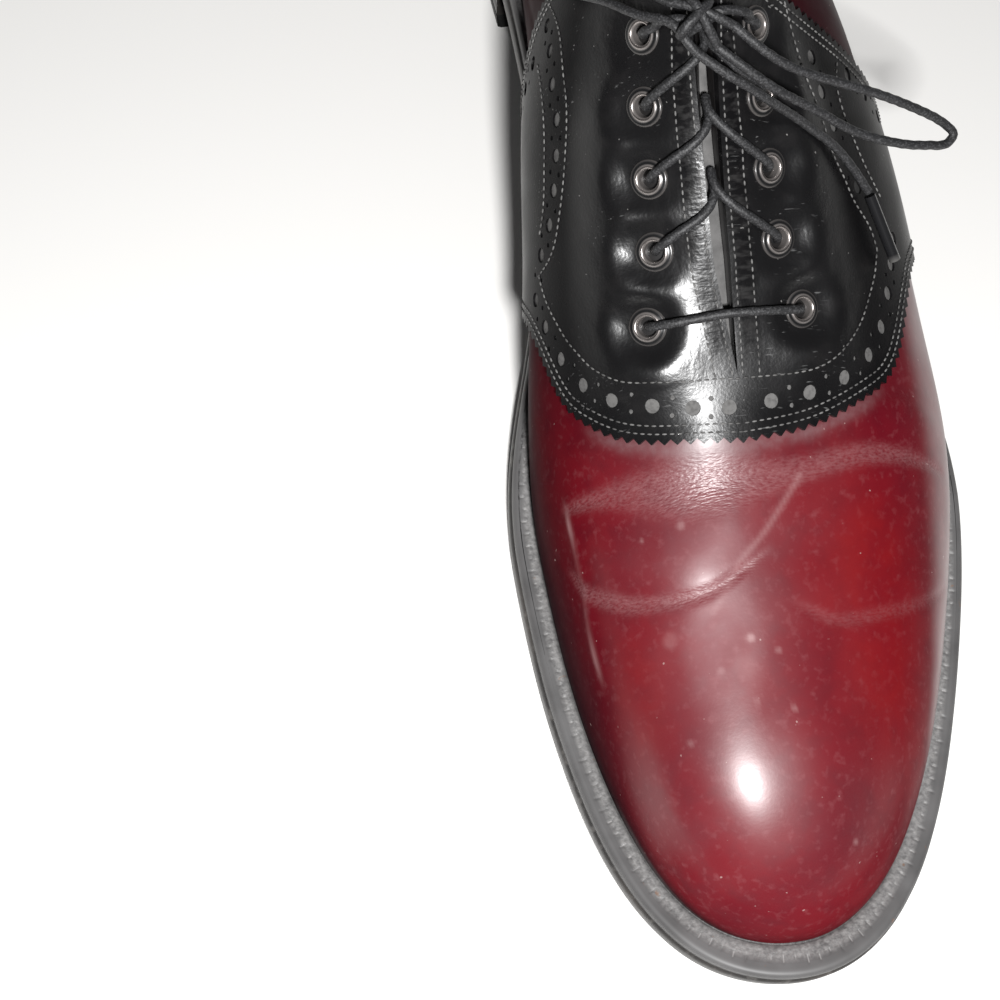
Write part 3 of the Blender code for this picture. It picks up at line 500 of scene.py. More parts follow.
WELT_THICKNESS = 3.2
WELT_ROUND = 1.6
WELT_UNDER_UPPER = 0.2
TICK_PITCH = 3.0
TICK_DEPTH = 0.14
TICK_START = (0.34, 0.44)
TICK_RUN = (0.10, 0.24)
TICK_PHASES = np.array([0.0, 0.25, 0.40, 0.47, 0.53, 0.60, 0.75])
TICK_SHARES = np.array([0.0, 0.0, 0.0, 1.0, 1.0, 0.0, 0.0])
CHANNEL_DEPTH = 0.5
CHANNEL_SHARE = 0.06
CHANNEL_REACH = 0.10
WELT_GREY = (0.115, 0.112, 0.112)
WELT_DARK = (0.060, 0.058, 0.058)
WELT_DUST = (0.245, 0.238, 0.234)
CHANNEL_BLACK = (0.012, 0.011, 0.011)
TICK_WHITE = (0.34, 0.33, 0.325)
WELT_RUST = (0.18, 0.085, 0.04)
WELT_EDGE_BLACK = (0.018, 0.017, 0.017)
loop_s = np.linspace(0, LAST.length, 4001)
loop_walk = walk(sole_outline(loop_s, 0.0))
ticks = round(loop_walk[-1] / TICK_PITCH)
welt_walk = ((np.arange(ticks)[:, None] + TICK_PHASES) * loop_walk[-1] / ticks).ravel()
welt_s = np.interp(welt_walk, loop_walk, loop_s)
feather = LAST.point(welt_s, np.zeros_like(welt_s))
out = LAST.outward(welt_s)
low_t = np.linspace(0, 0.4, 81)
wall = LAST.point(welt_s[:, None], low_t[None, :])
wall_lean = np.zeros(len(welt_s))
for i, rib in enumerate(wall):
    t_top = np.interp(feather[i, 2] + WELT_THICKNESS, rib[:, 2], low_t)
    wall_lean[i] = max(0.0, float((LAST.point(welt_s[i], t_top) - feather[i]) @ out[i]))
inner = feather[:, :2] + out[:, :2] * (wall_lean - WELT_UNDER_UPPER)[:, None]
outer = sole_outline(welt_s, -WELT_STEP)
seeded = np.random.default_rng(7)
pressed = np.tile(TICK_SHARES, ticks)
tick_wear = np.repeat(seeded.uniform(0.0, 1.0, ticks), len(TICK_PHASES))
tick_start = np.repeat(seeded.uniform(*TICK_START, ticks), len(TICK_PHASES))
tick_end = tick_start + np.repeat(seeded.uniform(*TICK_RUN, ticks), len(TICK_PHASES))
welt_foot = SOLE_THICKNESS + SEAT_GAP
welt_top = welt_foot + WELT_THICKNESS
rows = []
tick_rows = []
across_rows = []


def add_welt_row(place, up, across, tick=0.0):
    """One line of points round the welt, that far above the outsole's underside."""
    rows.append(np.column_stack([place, sole_bottom(place[:, 1]) + up]))
    tick_rows.append(np.zeros(len(welt_s)) + tick)
    across_rows.append(np.full(len(welt_s), across))


for share in np.linspace(0, 0.72, 13):
    channel = CHANNEL_DEPTH * np.clip(1 - abs(share - CHANNEL_SHARE) / CHANNEL_REACH, 0, 1)
    ticked = pressed * ((share > tick_start) & (share < tick_end))
    top_place = inner + (outer - inner) * share
    add_welt_row(top_place, welt_top - channel - TICK_DEPTH * ticked, share, ticked * tick_wear)
for turn in (0.0, 22.5, 45.0, 67.5, 90.0):
    angle = math.radians(turn)
    edge_place = outer - out[:, :2] * (WELT_ROUND * (1 - math.sin(angle)))
    add_welt_row(edge_place, welt_top - WELT_ROUND * (1 - math.cos(angle)), 0.8 + 0.2 * turn / 90.0)
add_welt_row(outer, welt_foot, 1.2)
points = np.stack(rows, 1)
count, depth_rows = points.shape[:2]
faces = []
for c in range(count):
    for r in range(depth_rows - 1):
        a, b = c * depth_rows + r, ((c + 1) % count) * depth_rows + r
        faces.append((a, a + 1, b + 1, b))
welt = Finish("welt_leather", WELT_GREY, 0.5)
welt.tint(welt.cloud(14.0, 3.0, 0.40, 0.66, 0.0, 0.7), WELT_DARK)
by_upper = welt.painted("across", 0.60, 0.42)
welt.tint(welt.times(by_upper, welt.cloud(1.0, 5.0, 0.32, 0.74, 0.10, 1.0)), WELT_DUST)
welt.tint(welt.times(welt.painted("across", 0.12, 0.02), 0.85), CHANNEL_BLACK)
welt.tint(welt.painted("tick", 0.25, 1.0, 0.0, 0.6), TICK_WHITE)
welt.tint(welt.cloud(2.6, 3.0, 0.71, 0.77, 0.0, 0.6), WELT_RUST)
welt.tint(welt.painted("across", 1.0, 1.1, 0.0, 0.9), WELT_EDGE_BLACK)
welt.bump(welt.times(by_upper, welt.noise(0.9, 4.0)), 0.6, 0.35)
add_piece(
    "welt_strip",
    points.reshape(-1, 3),
    faces,
    welt.material,
    ("welt",),
    attributes={"tick": np.stack(tick_rows, 1).ravel(), "across": np.stack(across_rows, 1).ravel()},
    sharp=60,
)

# The upper: burgundy leather lasted over the toe, polished until it shines, with its edges turned in.
# Walking has creased it across the ball, greyed it along the ridge and worn it red on the lateral side.

COLLAR = [(0.0, 98.0), (8.0, 97.0), (22.0, 91.5), (42.0, 85.5)]
COLLAR += [(60.0, 84.5), (78.0, 88.0), (93.0, 94.5), (104.0, 102.5)]
UPPER_WALL = 2.0
corner = (float(LAST.foot_along(FACING_TOP)), float(LAST.point(FACING_TOP, 1.0)[2]))
collar_table = np.array(COLLAR + [corner])
collar_height = spline(collar_table[:, 0], collar_table[:, 1:])
QUARTER = np.linspace(FACING_TOP, LAST.heel, 241)
collar_t = []
for quarter in (QUARTER, LAST.other_side(QUARTER)):
    rib_t = np.linspace(0, 1, 601)
    heights = LAST.point(quarter[:, None], rib_t[None, :])[..., 2]
    wanted = collar_height(LAST.foot_along(QUARTER))[:, 0]
    collar_t.append([np.interp(h, rib, rib_t) for h, rib in zip(wanted, heights)])


def top_share(s):
    """t of the upper's top edge: the ridge or facing edge in front, the collar behind."""
    s = np.asarray(s, float)
    medial = np.minimum(s, LAST.other_side(s))
    behind = [np.interp(medial, QUARTER, collar) for collar in collar_t]
    return np.where(medial <= FACING_TOP, 1.0, np.where(s <= LAST.heel, *behind))


def blend(value, low, high):
    """Rises softly from 0 at low to 1 at high."""
    share = np.clip((value - low) / (high - low), 0, 1)
    return share**2 * (3 - 2 * share)


def between(value, start, full, fade, end):
    """1 from full to fade, with a soft rise from start and a soft fall to end."""
    return blend(value, start, full) * (1 - blend(value, fade, end))


def bell(value, middle, spread):
    """A soft hump of height 1 round a middle."""
    return np.exp(-(((value - middle) / spread) ** 2))


# Where the black saddle will lie on it: along of its edges by share of the rib
Edge = namedtuple("Edge", "share front_medial front_lateral rear_medial rear_lateral")
SADDLE_EDGES = [
    Edge(0.00, 151.0, 147.0, 111.0, 124.0),
    Edge(0.15, 154.0, 150.0, 109.0, 123.0),
    Edge(0.27, 160.0, 155.0, 107.0, 122.0),
    Edge(0.38, 169.5, 162.0, 104.5, 121.0),
    Edge(0.46, 181.0, 172.0, 102.0, 120.0),
    Edge(0.55, 188.5, 184.0, 99.0, 118.5),
    Edge(0.65, 193.5, 190.5, 97.0, 116.5),
    Edge(0.80, 197.0, 196.5, 93.5, 112.0),
    Edge(1.00, 199.0, 199.0, 88.0, 105.0),
]
# Creases: points of girth from the ridge (medial side negative), along and half width.
# Each is a trough, with a soft shoulder raised on its heel side.
BALL_CREASE = [(-46, 201.6, 0.8), (-44, 201.7, 1.0), (-35, 202.6, 1.7), (-26.5, 203.8, 2.7)]
BALL_CREASE += [(-19.5, 205.0, 3.9), (-13, 205.7, 4.5), (-4.6, 206.1, 4.3), (3.2, 206.2, 3.5)]
BALL_CREASE += [(12, 205.1, 2.5), (22, 203.0, 2.1), (33, 201.5, 1.9), (44.5, 201.5, 1.6), (61, 202.0, 1.0)]
MEDIAL_CREASE = [(-46, 213.5, 0.9), (-43.3, 215.5, 1.2), (-38.8, 219.6, 1.5), (-32.4, 223.3, 1.7)]
MEDIAL_CREASE += [(-25.7, 226.1, 1.7), (-18.8, 227.3, 1.6), (-12.3, 227.4, 1.5), (-7.2, 226.4, 1.3)]
MEDIAL_CREASE += [(-1.5, 223.6, 1.0), (4.0, 220.5, 0.8)]
LATERAL_CREASE = [(8.0, 231.5, 0.9), (11.9, 233.0, 1.1), (17.5, 235.1, 1.3), (23.9, 235.2, 1.4)]
LATERAL_CREASE += [(30.8, 234.1, 1.4), (39.2, 232.5, 1.3), (47.7, 230.2, 1.2), (62.0, 225.6, 1.0)]
Crease = namedtuple("Crease", "points depth shoulder shoulder_away shoulder_spread pale")
CREASES = [
    Crease(BALL_CREASE, 0.35, 0.60, 9.5, 5.0, 0.9),
    Crease(MEDIAL_CREASE, 0.50, 0.95, 7.5, 6.5, 0.9),
    Crease(LATERAL_CREASE, 0.28, 0.25, 5.0, 4.0, 0.4),
]
# A fold stands up along the medial side, with a painted highlight along its crest, brightest at two places
# (along and spread)
SIDE_FOLD = [(-44.5, 199.2), (-42.8, 203.8), (-41.5, 208.0), (-40.2, 213.8), (-39.4, 218.8)]
SIDE_FOLD += [(-39.2, 227.4), (-38.5, 233.1), (-37.7, 238.8)]
FOLD_RUN = (197, 206, 230, 242)
FOLD_HEIGHT = 0.45
FOLD_WIDTH = 2.4
FOLD_LINE_WIDTH = 0.8
FOLD_SHEEN = [(205, 4), (236, 6)]
# Behind the stiffened toe the leather has sunk a little: height, along and spread of each wave
CROWN_WAVES = [(0.45, 264, 13), (-0.60, 241, 11)]
CROWN_FADE = (18, 42)
TOE_SIDE_HEIGHT = 0.6
TOE_SIDE_MIDDLE = -5
TOE_SIDE_AWAY = 16
TOE_SIDE_SPREAD = 8
TOE_SIDE_RUN = (244, 262, 278, 291)
VAMP_FADE = (186, 192)
SCRATCH = [(12.2, 206.3), (7.4, 212.1), (2.5, 217.8), (-1.8, 221.9), (-5.3, 227.2), (-8.2, 231.3)]
SCRATCH_RADIUS = 0.65
SCRATCH_STEPS = 60
SCRATCH_CLEAR_STEPS = 42
SCRATCH_CLEAR = 0.28
SCRATCH_FAINT = 0.14
# Pale spots: girth, along, radius and strength
SPOTS = [(-13.5, 212.9, 0.9, 0.30), (-1.1, 237.4, 0.9, 0.5), (-17.9, 235.0, 1.7, 0.14)]
SPOTS += [(0.0, 222.8, 1.4, 0.12), (4.5, 240.5, 0.7, 0.25), (-8.0, 243.0, 0.8, 0.2)]
SPOTS += [(-1.5, 250.5, 0.6, 0.4), (6.0, 252.0, 0.7, 0.3), (16.0, 279.0, 0.7, 0.3)]
SPOTS += [(-16.0, 256.0, 0.6, 0.2), (-3.0, 243.0, 2.4, 0.12), (-22.0, 214.0, 0.5, 0.3)]
# Soft oval patches where the dye is worn red, where old polish hazes it, and where it is dull by the saddle
Patch = namedtuple("Patch", "strength girth girth_spread along along_spread")
WORN_PATCHES = [Patch(1.0, 28, 15, 224, 18), Patch(0.7, 30, 12, 250, 14), Patch(0.7, -26, 9, 244, 14)]
HAZE_PATCHES = [Patch(1.0, -7, 11, 238, 15), Patch(0.8, -10, 15, 218, 7), Patch(0.45, -8, 20, 272, 22)]
DULL_PATCHES = [Patch(0.30, 4, 20, 199, 9)]
# Painted shade, partly dark polish, lies above the sole (strongest on the medial side), beside the saddle's
# front edge and on the quarters behind the saddle
SHADE_FOOT = 0.03
SHADE_TOP = {"medial": 0.66, "lateral": 0.34}
SHADE_STRENGTH = {"medial": 1.0, "lateral": 0.5}
TOE_SHADE_FADE = (236, 282)
TOE_SHADE_LOSS = 0.55
EDGE_SHADE = 0.35
EDGE_SHADE_RUN = 7.0
QUARTER_SHADE = 0.93
QUARTER_SHADE_FADE = (-9, -2)
HEEL_SHADE_LOSS = 0.4
HEEL_SHADE_FADE = (88, 40)
DUST_AWAY = 0.9
DUST_WIDTH = 1.7
COVER_MARGIN = 1.6
# The gloss is lost on both sides, by girth, and round the toe, by height
MEDIAL_DULL_FADE = (20, 40)
LATERAL_DULL = 0.85
LATERAL_DULL_RUN = (18, 34, 46, 58)
TOE_DULL = 0.95
TOE_DULL_HEIGHTS = (14, 18, 30, 43)
TOE_DULL_FADE = (258, 282)

# Ribs stand closest together where the leather is creased
fold_front, fold_rear = 244.0, 196.0
side_s = np.concatenate(
    [
        LAST.medial_of(RIB_ALONG, fold_front) * np.linspace(0, 1, 71)[:-1] ** 1.25,
        LAST.medial_of(RIB_ALONG, np.linspace(fold_front, fold_rear, 97)[:-1]),
        np.linspace(LAST.medial_of(RIB_ALONG, fold_rear), THROAT, 12)[:-1],
        np.linspace(THROAT, FACING_TOP, 61)[:-1],
        np.linspace(FACING_TOP, LAST.heel, 91),
    ]
)
upper_s = np.concatenate([side_s, LAST.other_side(side_s[-2::-1])])
upper_rows = 105
upper_v = np.linspace(0, 1, upper_rows)
S = np.repeat(upper_s[:, None], upper_rows, 1)
T = upper_v[None, :] * top_share(upper_s)[:, None]
bare = LAST.point(S, T)
on_medial = (upper_s < LAST.heel)[:, None]
steps = np.linalg.norm(np.diff(bare, axis=1), axis=2)
to_top = np.pad(np.cumsum(steps[:, ::-1], axis=1)[:, ::-1], ((0, 0), (0, 1)))
girth = to_top * np.where(on_medial, -1.0, 1.0)
rib_along = bare[..., 1]
on_vamp = blend(rib_along, *VAMP_FADE)

lift = np.zeros_like(girth)
creased = np.zeros_like(girth)
for crease in CREASES:
    line = smooth_line(crease.points, 240)
    centre = np.interp(girth, line[:, 0], line[:, 1])
    slope = np.interp(girth, line[:, 0], np.gradient(line[:, 1], line[:, 0]))
    half_width = np.interp(girth, line[:, 0], line[:, 2])
    away = (rib_along - centre) / np.sqrt(1 + slope**2)
    start, end = line[0, 0], line[-1, 0]
    ends = between(girth, start - 2, start + 6, end - 6, end + 2)
    wide_ends = between(girth, start, start + 18, end - 18, end + 4)
    lift += crease.shoulder * wide_ends * bell(away, -crease.shoulder_away, crease.shoulder_spread)
    lift -= crease.depth * ends * bell(away, 0, half_width)
    creased = np.maximum(creased, crease.pale * ends * np.exp(-(np.abs(away / (1.1 * half_width)) ** 3)))
fold = np.array(SIDE_FOLD)
fold_away = girth - np.interp(rib_along, fold[:, 1], fold[:, 0])
on_fold = between(rib_along, *FOLD_RUN)
lift += FOLD_HEIGHT * on_fold * bell(fold_away, 0, FOLD_WIDTH)
on_crown = 1 - blend(np.abs(girth), *CROWN_FADE)
for wave_height, wave_along, wave_spread in CROWN_WAVES:
    lift += on_crown * wave_height * bell(rib_along, wave_along, wave_spread)
toe_sides = bell(np.abs(girth - TOE_SIDE_MIDDLE), TOE_SIDE_AWAY, TOE_SIDE_SPREAD)
lift += TOE_SIDE_HEIGHT * toe_sides * between(rib_along, *TOE_SIDE_RUN)
lift *= on_vamp
creased *= on_vamp

# Painted highlight along the side fold's crest; the scratch and pale spots added below are real marks
fold_sheen = sum(bell(rib_along, along, spread) for along, spread in FOLD_SHEEN)
rubbed_and_sheen = (0.10 + 0.40 * fold_sheen) * on_fold * bell(fold_away, 0, FOLD_LINE_WIDTH)
for i, (at_girth, at_along) in enumerate(smooth_line(SCRATCH, SCRATCH_STEPS)):
    near = np.exp(-(((girth - at_girth) ** 2 + (rib_along - at_along) ** 2) / SCRATCH_RADIUS**2))
    rubbed_and_sheen = np.maximum(rubbed_and_sheen, near * (SCRATCH_CLEAR if i < SCRATCH_CLEAR_STEPS else SCRATCH_FAINT))
for at_girth, at_along, radius, strength in SPOTS:
    near = ((girth - at_girth) ** 2 + (rib_along - at_along) ** 2) / radius**2
    rubbed_and_sheen = np.maximum(rubbed_and_sheen, strength * np.exp(-(near**2)))


def by_side(of_sides):
    """The medial value on the medial ribs, and the lateral one on the others."""
    return np.where(on_medial, of_sides["medial"], of_sides["lateral"])


def patched(patches):
    """Soft patches on the upper, added up."""
    total = np.zeros_like(girth)
    for patch in patches:
        across = (girth - patch.girth) / patch.girth_spread
        lengthwise = (rib_along - patch.along) / patch.along_spread
        total += patch.strength * np.exp(-(across**2) - lengthwise**2)
    return total


edges = Edge(*np.array(SADDLE_EDGES).T)
edge_at = Edge(*(np.interp(upper_v, edges.share, column)[None, :] for column in edges))
rib_foot = LAST.foot_along(upper_s)[:, None]
past_front = rib_foot - np.where(on_medial, edge_at.front_medial, edge_at.front_lateral)
before_rear = rib_foot - np.where(on_medial, edge_at.rear_medial, edge_at.rear_lateral)
covered = (past_front < -COVER_MARGIN) & (before_rear > COVER_MARGIN)
dust = bell(past_front, DUST_AWAY, DUST_WIDTH) * on_vamp
# Painted shade, partly dark polish: darker towards the sole, beside the saddle's front edge and behind the
# saddle
dark_to = by_side(SHADE_TOP) * (1 - TOE_SHADE_LOSS * blend(rib_along, *TOE_SHADE_FADE))
shade = (1 - blend(upper_v[None, :], SHADE_FOOT, dark_to)) * by_side(SHADE_STRENGTH)
shade += EDGE_SHADE * np.exp(-np.clip(past_front, 0, None) / EDGE_SHADE_RUN)
behind = QUARTER_SHADE - HEEL_SHADE_LOSS * blend(rib_along, *HEEL_SHADE_FADE)
behind *= blend(-before_rear, *QUARTER_SHADE_FADE)
shade = np.clip(np.maximum(shade, behind), 0, 1)
lateral_dull = LATERAL_DULL * between(girth, *LATERAL_DULL_RUN)
dull = np.where(on_medial, blend(-girth, *MEDIAL_DULL_FADE), lateral_dull)
toe_dull = TOE_DULL * between(bare[..., 2], *TOE_DULL_HEIGHTS)
dull += (toe_dull - dull) * blend(rib_along, *TOE_DULL_FADE)
dull = np.maximum(np.maximum(dull, behind), patched(DULL_PATCHES))
points = bare + LAST.normal(S, T) * lift[..., None]
faces = grid_faces(len(upper_s), upper_rows)

# The turned edge round the slit and the collar, from the throat over the heel and back to the throat.
# Each row lies that far down the rib, and that deep in the leather.
TURNED_ROWS = [(0.0, 0.45), (0.05, 1.1), (0.1, UPPER_WALL), (4.0, UPPER_WALL + 0.1)]
rim = np.flatnonzero((upper_s >= THROAT - 1e-6) & (upper_s <= LAST.other_side(THROAT) + 1e-6))
rim_s = upper_s[rim]
rim_share = top_share(rim_s)
rim_step = np.linalg.norm(LAST.point(rim_s, rim_share) - LAST.point(rim_s, rim_share * 0.99), axis=1)
rim_rows = [points[rim, -1]]
for drop, depth in TURNED_ROWS:
    lower = rim_share - 0.01 * rim_share * drop / rim_step
    rim_rows.append(LAST.above(rim_s, lower, np.full(len(rim_s), -depth)))
rim_points = np.stack(rim_rows, 1)
faces += grid_faces(len(rim), len(rim_rows), points[..., 0].size)


def with_rim(values):
    """Values of the upper's points, and those of its top edge again for each row of the turned edge."""
    return np.concatenate([values.ravel(), np.repeat(values[rim, -1], len(rim_rows))])


BURGUNDY = (0.112, 0.0045, 0.0105)
BURGUNDY_WARM = (0.160, 0.0065, 0.0120)
BURGUNDY_DEEP = (0.075, 0.0036, 0.0090)
BURGUNDY_PALE = (0.30, 0.12, 0.13)
WORN_RED = (0.200, 0.0075, 0.0095)
SHADE_AND_POLISH_DARK = (0.012, 0.0022, 0.0042)
POLISH_HAZE = (0.27, 0.105, 0.115)
CREASE_SHEEN_PINK = (0.26, 0.12, 0.125)
RUBBED_AND_SHEEN_PINK = (0.42, 0.26, 0.26)
DUST_PINK = (0.20, 0.13, 0.135)
FLECK_PINK = (0.45, 0.32, 0.30)
COVERED_BLACK = (0.010, 0.009, 0.009)
UPPER_COAT = 0.34
leather = Finish("burgundy_leather", BURGUNDY, 0.38, coat=UPPER_COAT, coat_roughness=0.28)
leather.tint(leather.cloud(30.0, 3.0, 0.36, 0.66, 0.0, 0.8), BURGUNDY_WARM)
leather.tint(leather.cloud(5.0, 6.0, 0.46, 0.76, 0.0, 0.5), BURGUNDY_DEEP)
leather.tint(leather.cloud(1.8, 4.0, 0.54, 0.80, 0.0, 0.22), BURGUNDY_PALE)
patchy = leather.cloud(7.0, 4.0, 0.28, 0.68, 0.35, 0.9)
leather.tint(leather.times(leather.attribute("worn"), patchy), WORN_RED)
# Painted shade, partly dark polish, from the shade attribute
leather.tint(leather.painted("shade", 0.05, 1.0, 0.0, 0.95), SHADE_AND_POLISH_DARK)
cloudy = leather.times(leather.cloud(10.0, 6.0, 0.32, 0.70, 0.25, 1.0), 0.40)
leather.tint(leather.times(leather.attribute("haze"), cloudy), POLISH_HAZE)
grain = leather.noise(0.46, 1.5, stretch=(0.35, 1.0, 0.6))
in_crease = leather.attribute("crease")
# Painted sheen: the grain in the crease bands is drawn pale pinkish grey where the fine wrinkles catch light
leather.tint(leather.times(in_crease, leather.ramp(grain, 0.30, 0.68, 0.12, 0.52)), CREASE_SHEEN_PINK)
# Painted highlight on the side fold, together with the real scratch and pale spots
leather.tint(leather.attribute("rubbed_and_sheen"), RUBBED_AND_SHEEN_PINK)
powder = leather.cloud(2.2, 2.0, 0.30, 0.70, 0.22, 0.48)
leather.tint(leather.times(leather.attribute("dust"), powder), DUST_PINK)
leather.tint(leather.cloud(1.3, 1.0, 0.785, 0.81, 0.0, 0.5), FLECK_PINK)
leather.tint(leather.attribute("covered"), COVERED_BLACK)
softer = leather.plus(leather.times(in_crease, 0.08), leather.painted("haze", 0.5, 0.9, 0.0, 0.16))
leather.drive("Roughness", leather.plus(leather.cloud(13.0, 5.0, 0.3, 0.7, 0.34, 0.44), softer))
leather.drive("IOR", leather.painted("dull", 0.0, 1.0, 1.5, 1.03))
glossy = leather.painted("dull", 0.0, 0.9, UPPER_COAT, 0.0)
leather.drive("Coat Weight", leather.times(glossy, leather.painted("haze", 0.5, 0.9, 1.0, 0.1)))
leather.bump(leather.noise(0.7, 3.0), 0.08, 0.10)
leather.bump(leather.times(grain, in_crease), 0.7, 0.22)
leather.bump(leather.noise(13.0, 2.0), 0.10, 1.0)
add_piece(
    "upper_leather",
    np.concatenate([points.reshape(-1, 3), rim_points.reshape(-1, 3)]),
    faces,
    leather.material,
    ("upper",),
    attributes={
        "shade": with_rim(shade),
        "worn": with_rim(patched(WORN_PATCHES)),
        "haze": with_rim(patched(HAZE_PATCHES)),
        "crease": with_rim(creased),
        "rubbed_and_sheen": with_rim(rubbed_and_sheen),
        "dust": with_rim(dust),
        "covered": with_rim(covered),
        "dull": with_rim(dull),
    },
    weld=0.01,
    sharp=50,
)

# The lining: thin tan leather glued inside the upper, up to the turned edge of the collar.
# It is one sheet that follows the last, and is seen only through the ankle opening.

LINING_DEPTH = UPPER_WALL - 0.35
lining_v = np.linspace(0.10, 0.985, 40)
lining_s = upper_s[::3]
points = LAST.above(
    np.repeat(lining_s[:, None], len(lining_v), 1),
    lining_v[None, :] * top_share(lining_s)[:, None],
    np.full((len(lining_s), len(lining_v)), -LINING_DEPTH),
)
faces = [face[::-1] for face in grid_faces(len(lining_s), len(lining_v))]
add_piece("lining", points.reshape(-1, 3), faces, insole.material)

# The tongue: a thin strip of greyed leather, sewn in under the vamp below the throat.
# It follows the last under both facings and fills the slit between them.

TONGUE_ROOT_ALONG = 196.0
TONGUE_TOP_ALONG = 111.0
TONGUE_DEPTH = UPPER_WALL + 0.7
TONGUE_WALL = 2.0
TONGUE_ROOT_REACH = 17.0
TONGUE_TOP_REACH = 26.0
TONGUE_HALF_POINTS = 14
TONGUE_SMOOTHINGS = 18
TONGUE_GREY = (0.095, 0.092, 0.090)
TONGUE_DARK = (0.055, 0.053, 0.052)
tongue_s = np.linspace(*LAST.medial_of(RIB_TOP_ALONG, [TONGUE_ROOT_ALONG, TONGUE_TOP_ALONG]), 80)
sections = []
for s, reach in zip(tongue_s, np.linspace(TONGUE_ROOT_REACH, TONGUE_TOP_REACH, len(tongue_s))):
    ridge = LAST.columns(s)[RIB_RIDGE]
    sides = []
    for side, at_s in ((-1, s), (1, LAST.other_side(s))):
        t = np.linspace(LAST.share_from_top(at_s, reach), 1.0, 401)
        wall = LAST.above(np.full_like(t, at_s), t, np.full_like(t, -TONGUE_DEPTH))
        before = np.count_nonzero(np.cumsum((wall[:, 0] - ridge) * side <= 0) == 0)
        sides.append(wall[np.linspace(0, before - 1, TONGUE_HALF_POINTS).round().astype(int)])
    crest = (sides[0][-1] + sides[1][-1]) / 2
    section = np.array([*sides[0][:-1], crest, *sides[1][-2::-1]])
    for _ in range(TONGUE_SMOOTHINGS):
        section[1:-1] = (section[:-2] + 2 * section[1:-1] + section[2:]) / 4
    sections.append(section)
outside = np.array(sections)
normals = np.cross(np.gradient(outside, axis=0), np.gradient(outside, axis=1))
normals /= np.linalg.norm(normals, axis=-1, keepdims=True)
normals *= np.sign(normals[..., 2:3])
inside = outside - normals * TONGUE_WALL
points = np.concatenate([outside, inside[:, ::-1]], 1)
ring = points.shape[1]
faces = ring_quads(len(tongue_s), ring).tolist()
faces.append(tuple(range(ring))[::-1])
faces.append(tuple(range((len(tongue_s) - 1) * ring, len(tongue_s) * ring)))
tongue = Finish("tongue_leather", TONGUE_GREY, 0.65)
tongue.tint(tongue.cloud(3.0, 4.0, 0.4, 0.7), TONGUE_DARK)
tongue.bump(tongue.noise(0.9, 3.0), 0.3, 0.2)
strip_points = points.reshape(-1, 3)
add_piece("tongue_strip", strip_points, faces, tongue.material, ("tongue",), sharp=40)

# The saddle: black leather sewn over the instep, with pinked edges, punched holes and rows of grey thread.
# Both halves meet over the ridge below the throat. The lace has pulled the leather into dips at the eyelets.

SADDLE_HEIGHT = 1.7
SADDLE_CUT = 1.55
SADDLE_FOOT = 0.045
PINK_PITCH = 2.7
PINK_DEPTH = 1.2
HOLE_RADIUS = 1.6
HOLE_STEPS = 14
DOT_RADIUS = 0.55
DOT_STEPS = 8
DOT_APART = 1.85
EYELET_PAIRS = 5
EYELET_FIRST = 13.0
EYELET_PITCH = 14.6
EYELET_FROM_RIDGE = [15.2, 11.2, 11.0, 11.0, 11.5]
EYELET_HOLE = 2.6
EYELET_HOLE_STEPS = 20
EYELET_DIP = 0.45
DIP_RADIUS = 6.9
# Both facings stand fuller beside the slit
FACING_BULGE = 2.3
BULGE_FROM_RIDGE = 16.5
BULGE_INNER = 8
BULGE_OUTER = 13
BULGE_RUN = (122, 140, 180, 194)
# The leather is meshed flat in along and t, with t drawn out to about the same length
T_SCALE = 90.0
MESH_STEP = 1.05
MESH_ALONG = (84, 200)
MESH_T = (3.0, 90.0)
MESH_CLEAR = 0.65
# The leather is puckered round the eyelets and tucked beside the slit.
# It is less glossy in the tuck, on the front band and at the sides.
PULL_REACH = 14.0
TUCK_MIDDLE = 2.7
TUCK_HALF_WIDTH = 2.0
TUCK_FADE = (1, 8)
TUCK_DULL = 0.68
BAND_FADE = (0, 9)
BAND_REACH = (14, 28)
BAND_DULL = 0.62
SIDE_DULL_FADE = (20, 34)
CUT_DULL = 0.5
MEDIAL, LATERAL = -1, 1
# Punched holes of the band, as along and t, from the collar down to the cusp and round to the ridge
BAND_HOLES = {
    MEDIAL: [(105.8, 0.452), (113.1, 0.479), (121.0, 0.5), (128.9, 0.525), (135.7, 0.521), (141.9, 0.504)]
    + [(147.7, 0.475), (151.9, 0.425), (159.2, 0.383), (166.0, 0.433), (173.8, 0.492), (180.7, 0.567)]
    + [(185.6, 0.654), (188.9, 0.767), (190.9, 0.875), (191.9, 0.970)],
    LATERAL: [(125.3, 0.662), (131.8, 0.654), (137.7, 0.633), (143.8, 0.613), (148.6, 0.579)]
    + [(156.4, 0.458), (162.1, 0.492), (168.6, 0.529), (176.1, 0.579), (182.3, 0.642), (187.2, 0.725)]
    + [(190.2, 0.821), (191.5, 0.921)],
}
REAR_HOLES = {
    MEDIAL: [(110.2, 0.375), (112.4, 0.312), (114.2, 0.246), (115.6, 0.185), (116.6, 0.125)],
    LATERAL: [(125.2, 0.520), (126.8, 0.445), (128.5, 0.365), (129.8, 0.285)],
}
# No dots lie between the lateral holes on either side of the cusp
LATERAL_CUSP = 4
eyelet_places = []
for pair in range(EYELET_PAIRS):
    pair_s = float(LAST.up_the_ridge(EYELET_FIRST + pair * EYELET_PITCH))
    for eyelet_s in (pair_s, LAST.other_side(pair_s)):
        eyelet_places.append((eyelet_s, float(LAST.share_from_top(eyelet_s, EYELET_FROM_RIDGE[pair]))))
EYELET_CENTRES = LAST.point(*np.array(eyelet_places).T)


def loop_s_of(side, along):
    medial = LAST.medial_of(RIB_ALONG, along)
    return medial if side < 0 else LAST.other_side(medial)


def from_ridge(s, base):
    """Distance of points of the last from the ridge on their rib."""
    return np.linalg.norm(base - LAST.point(s, np.ones(base.shape[:-1])), axis=-1)


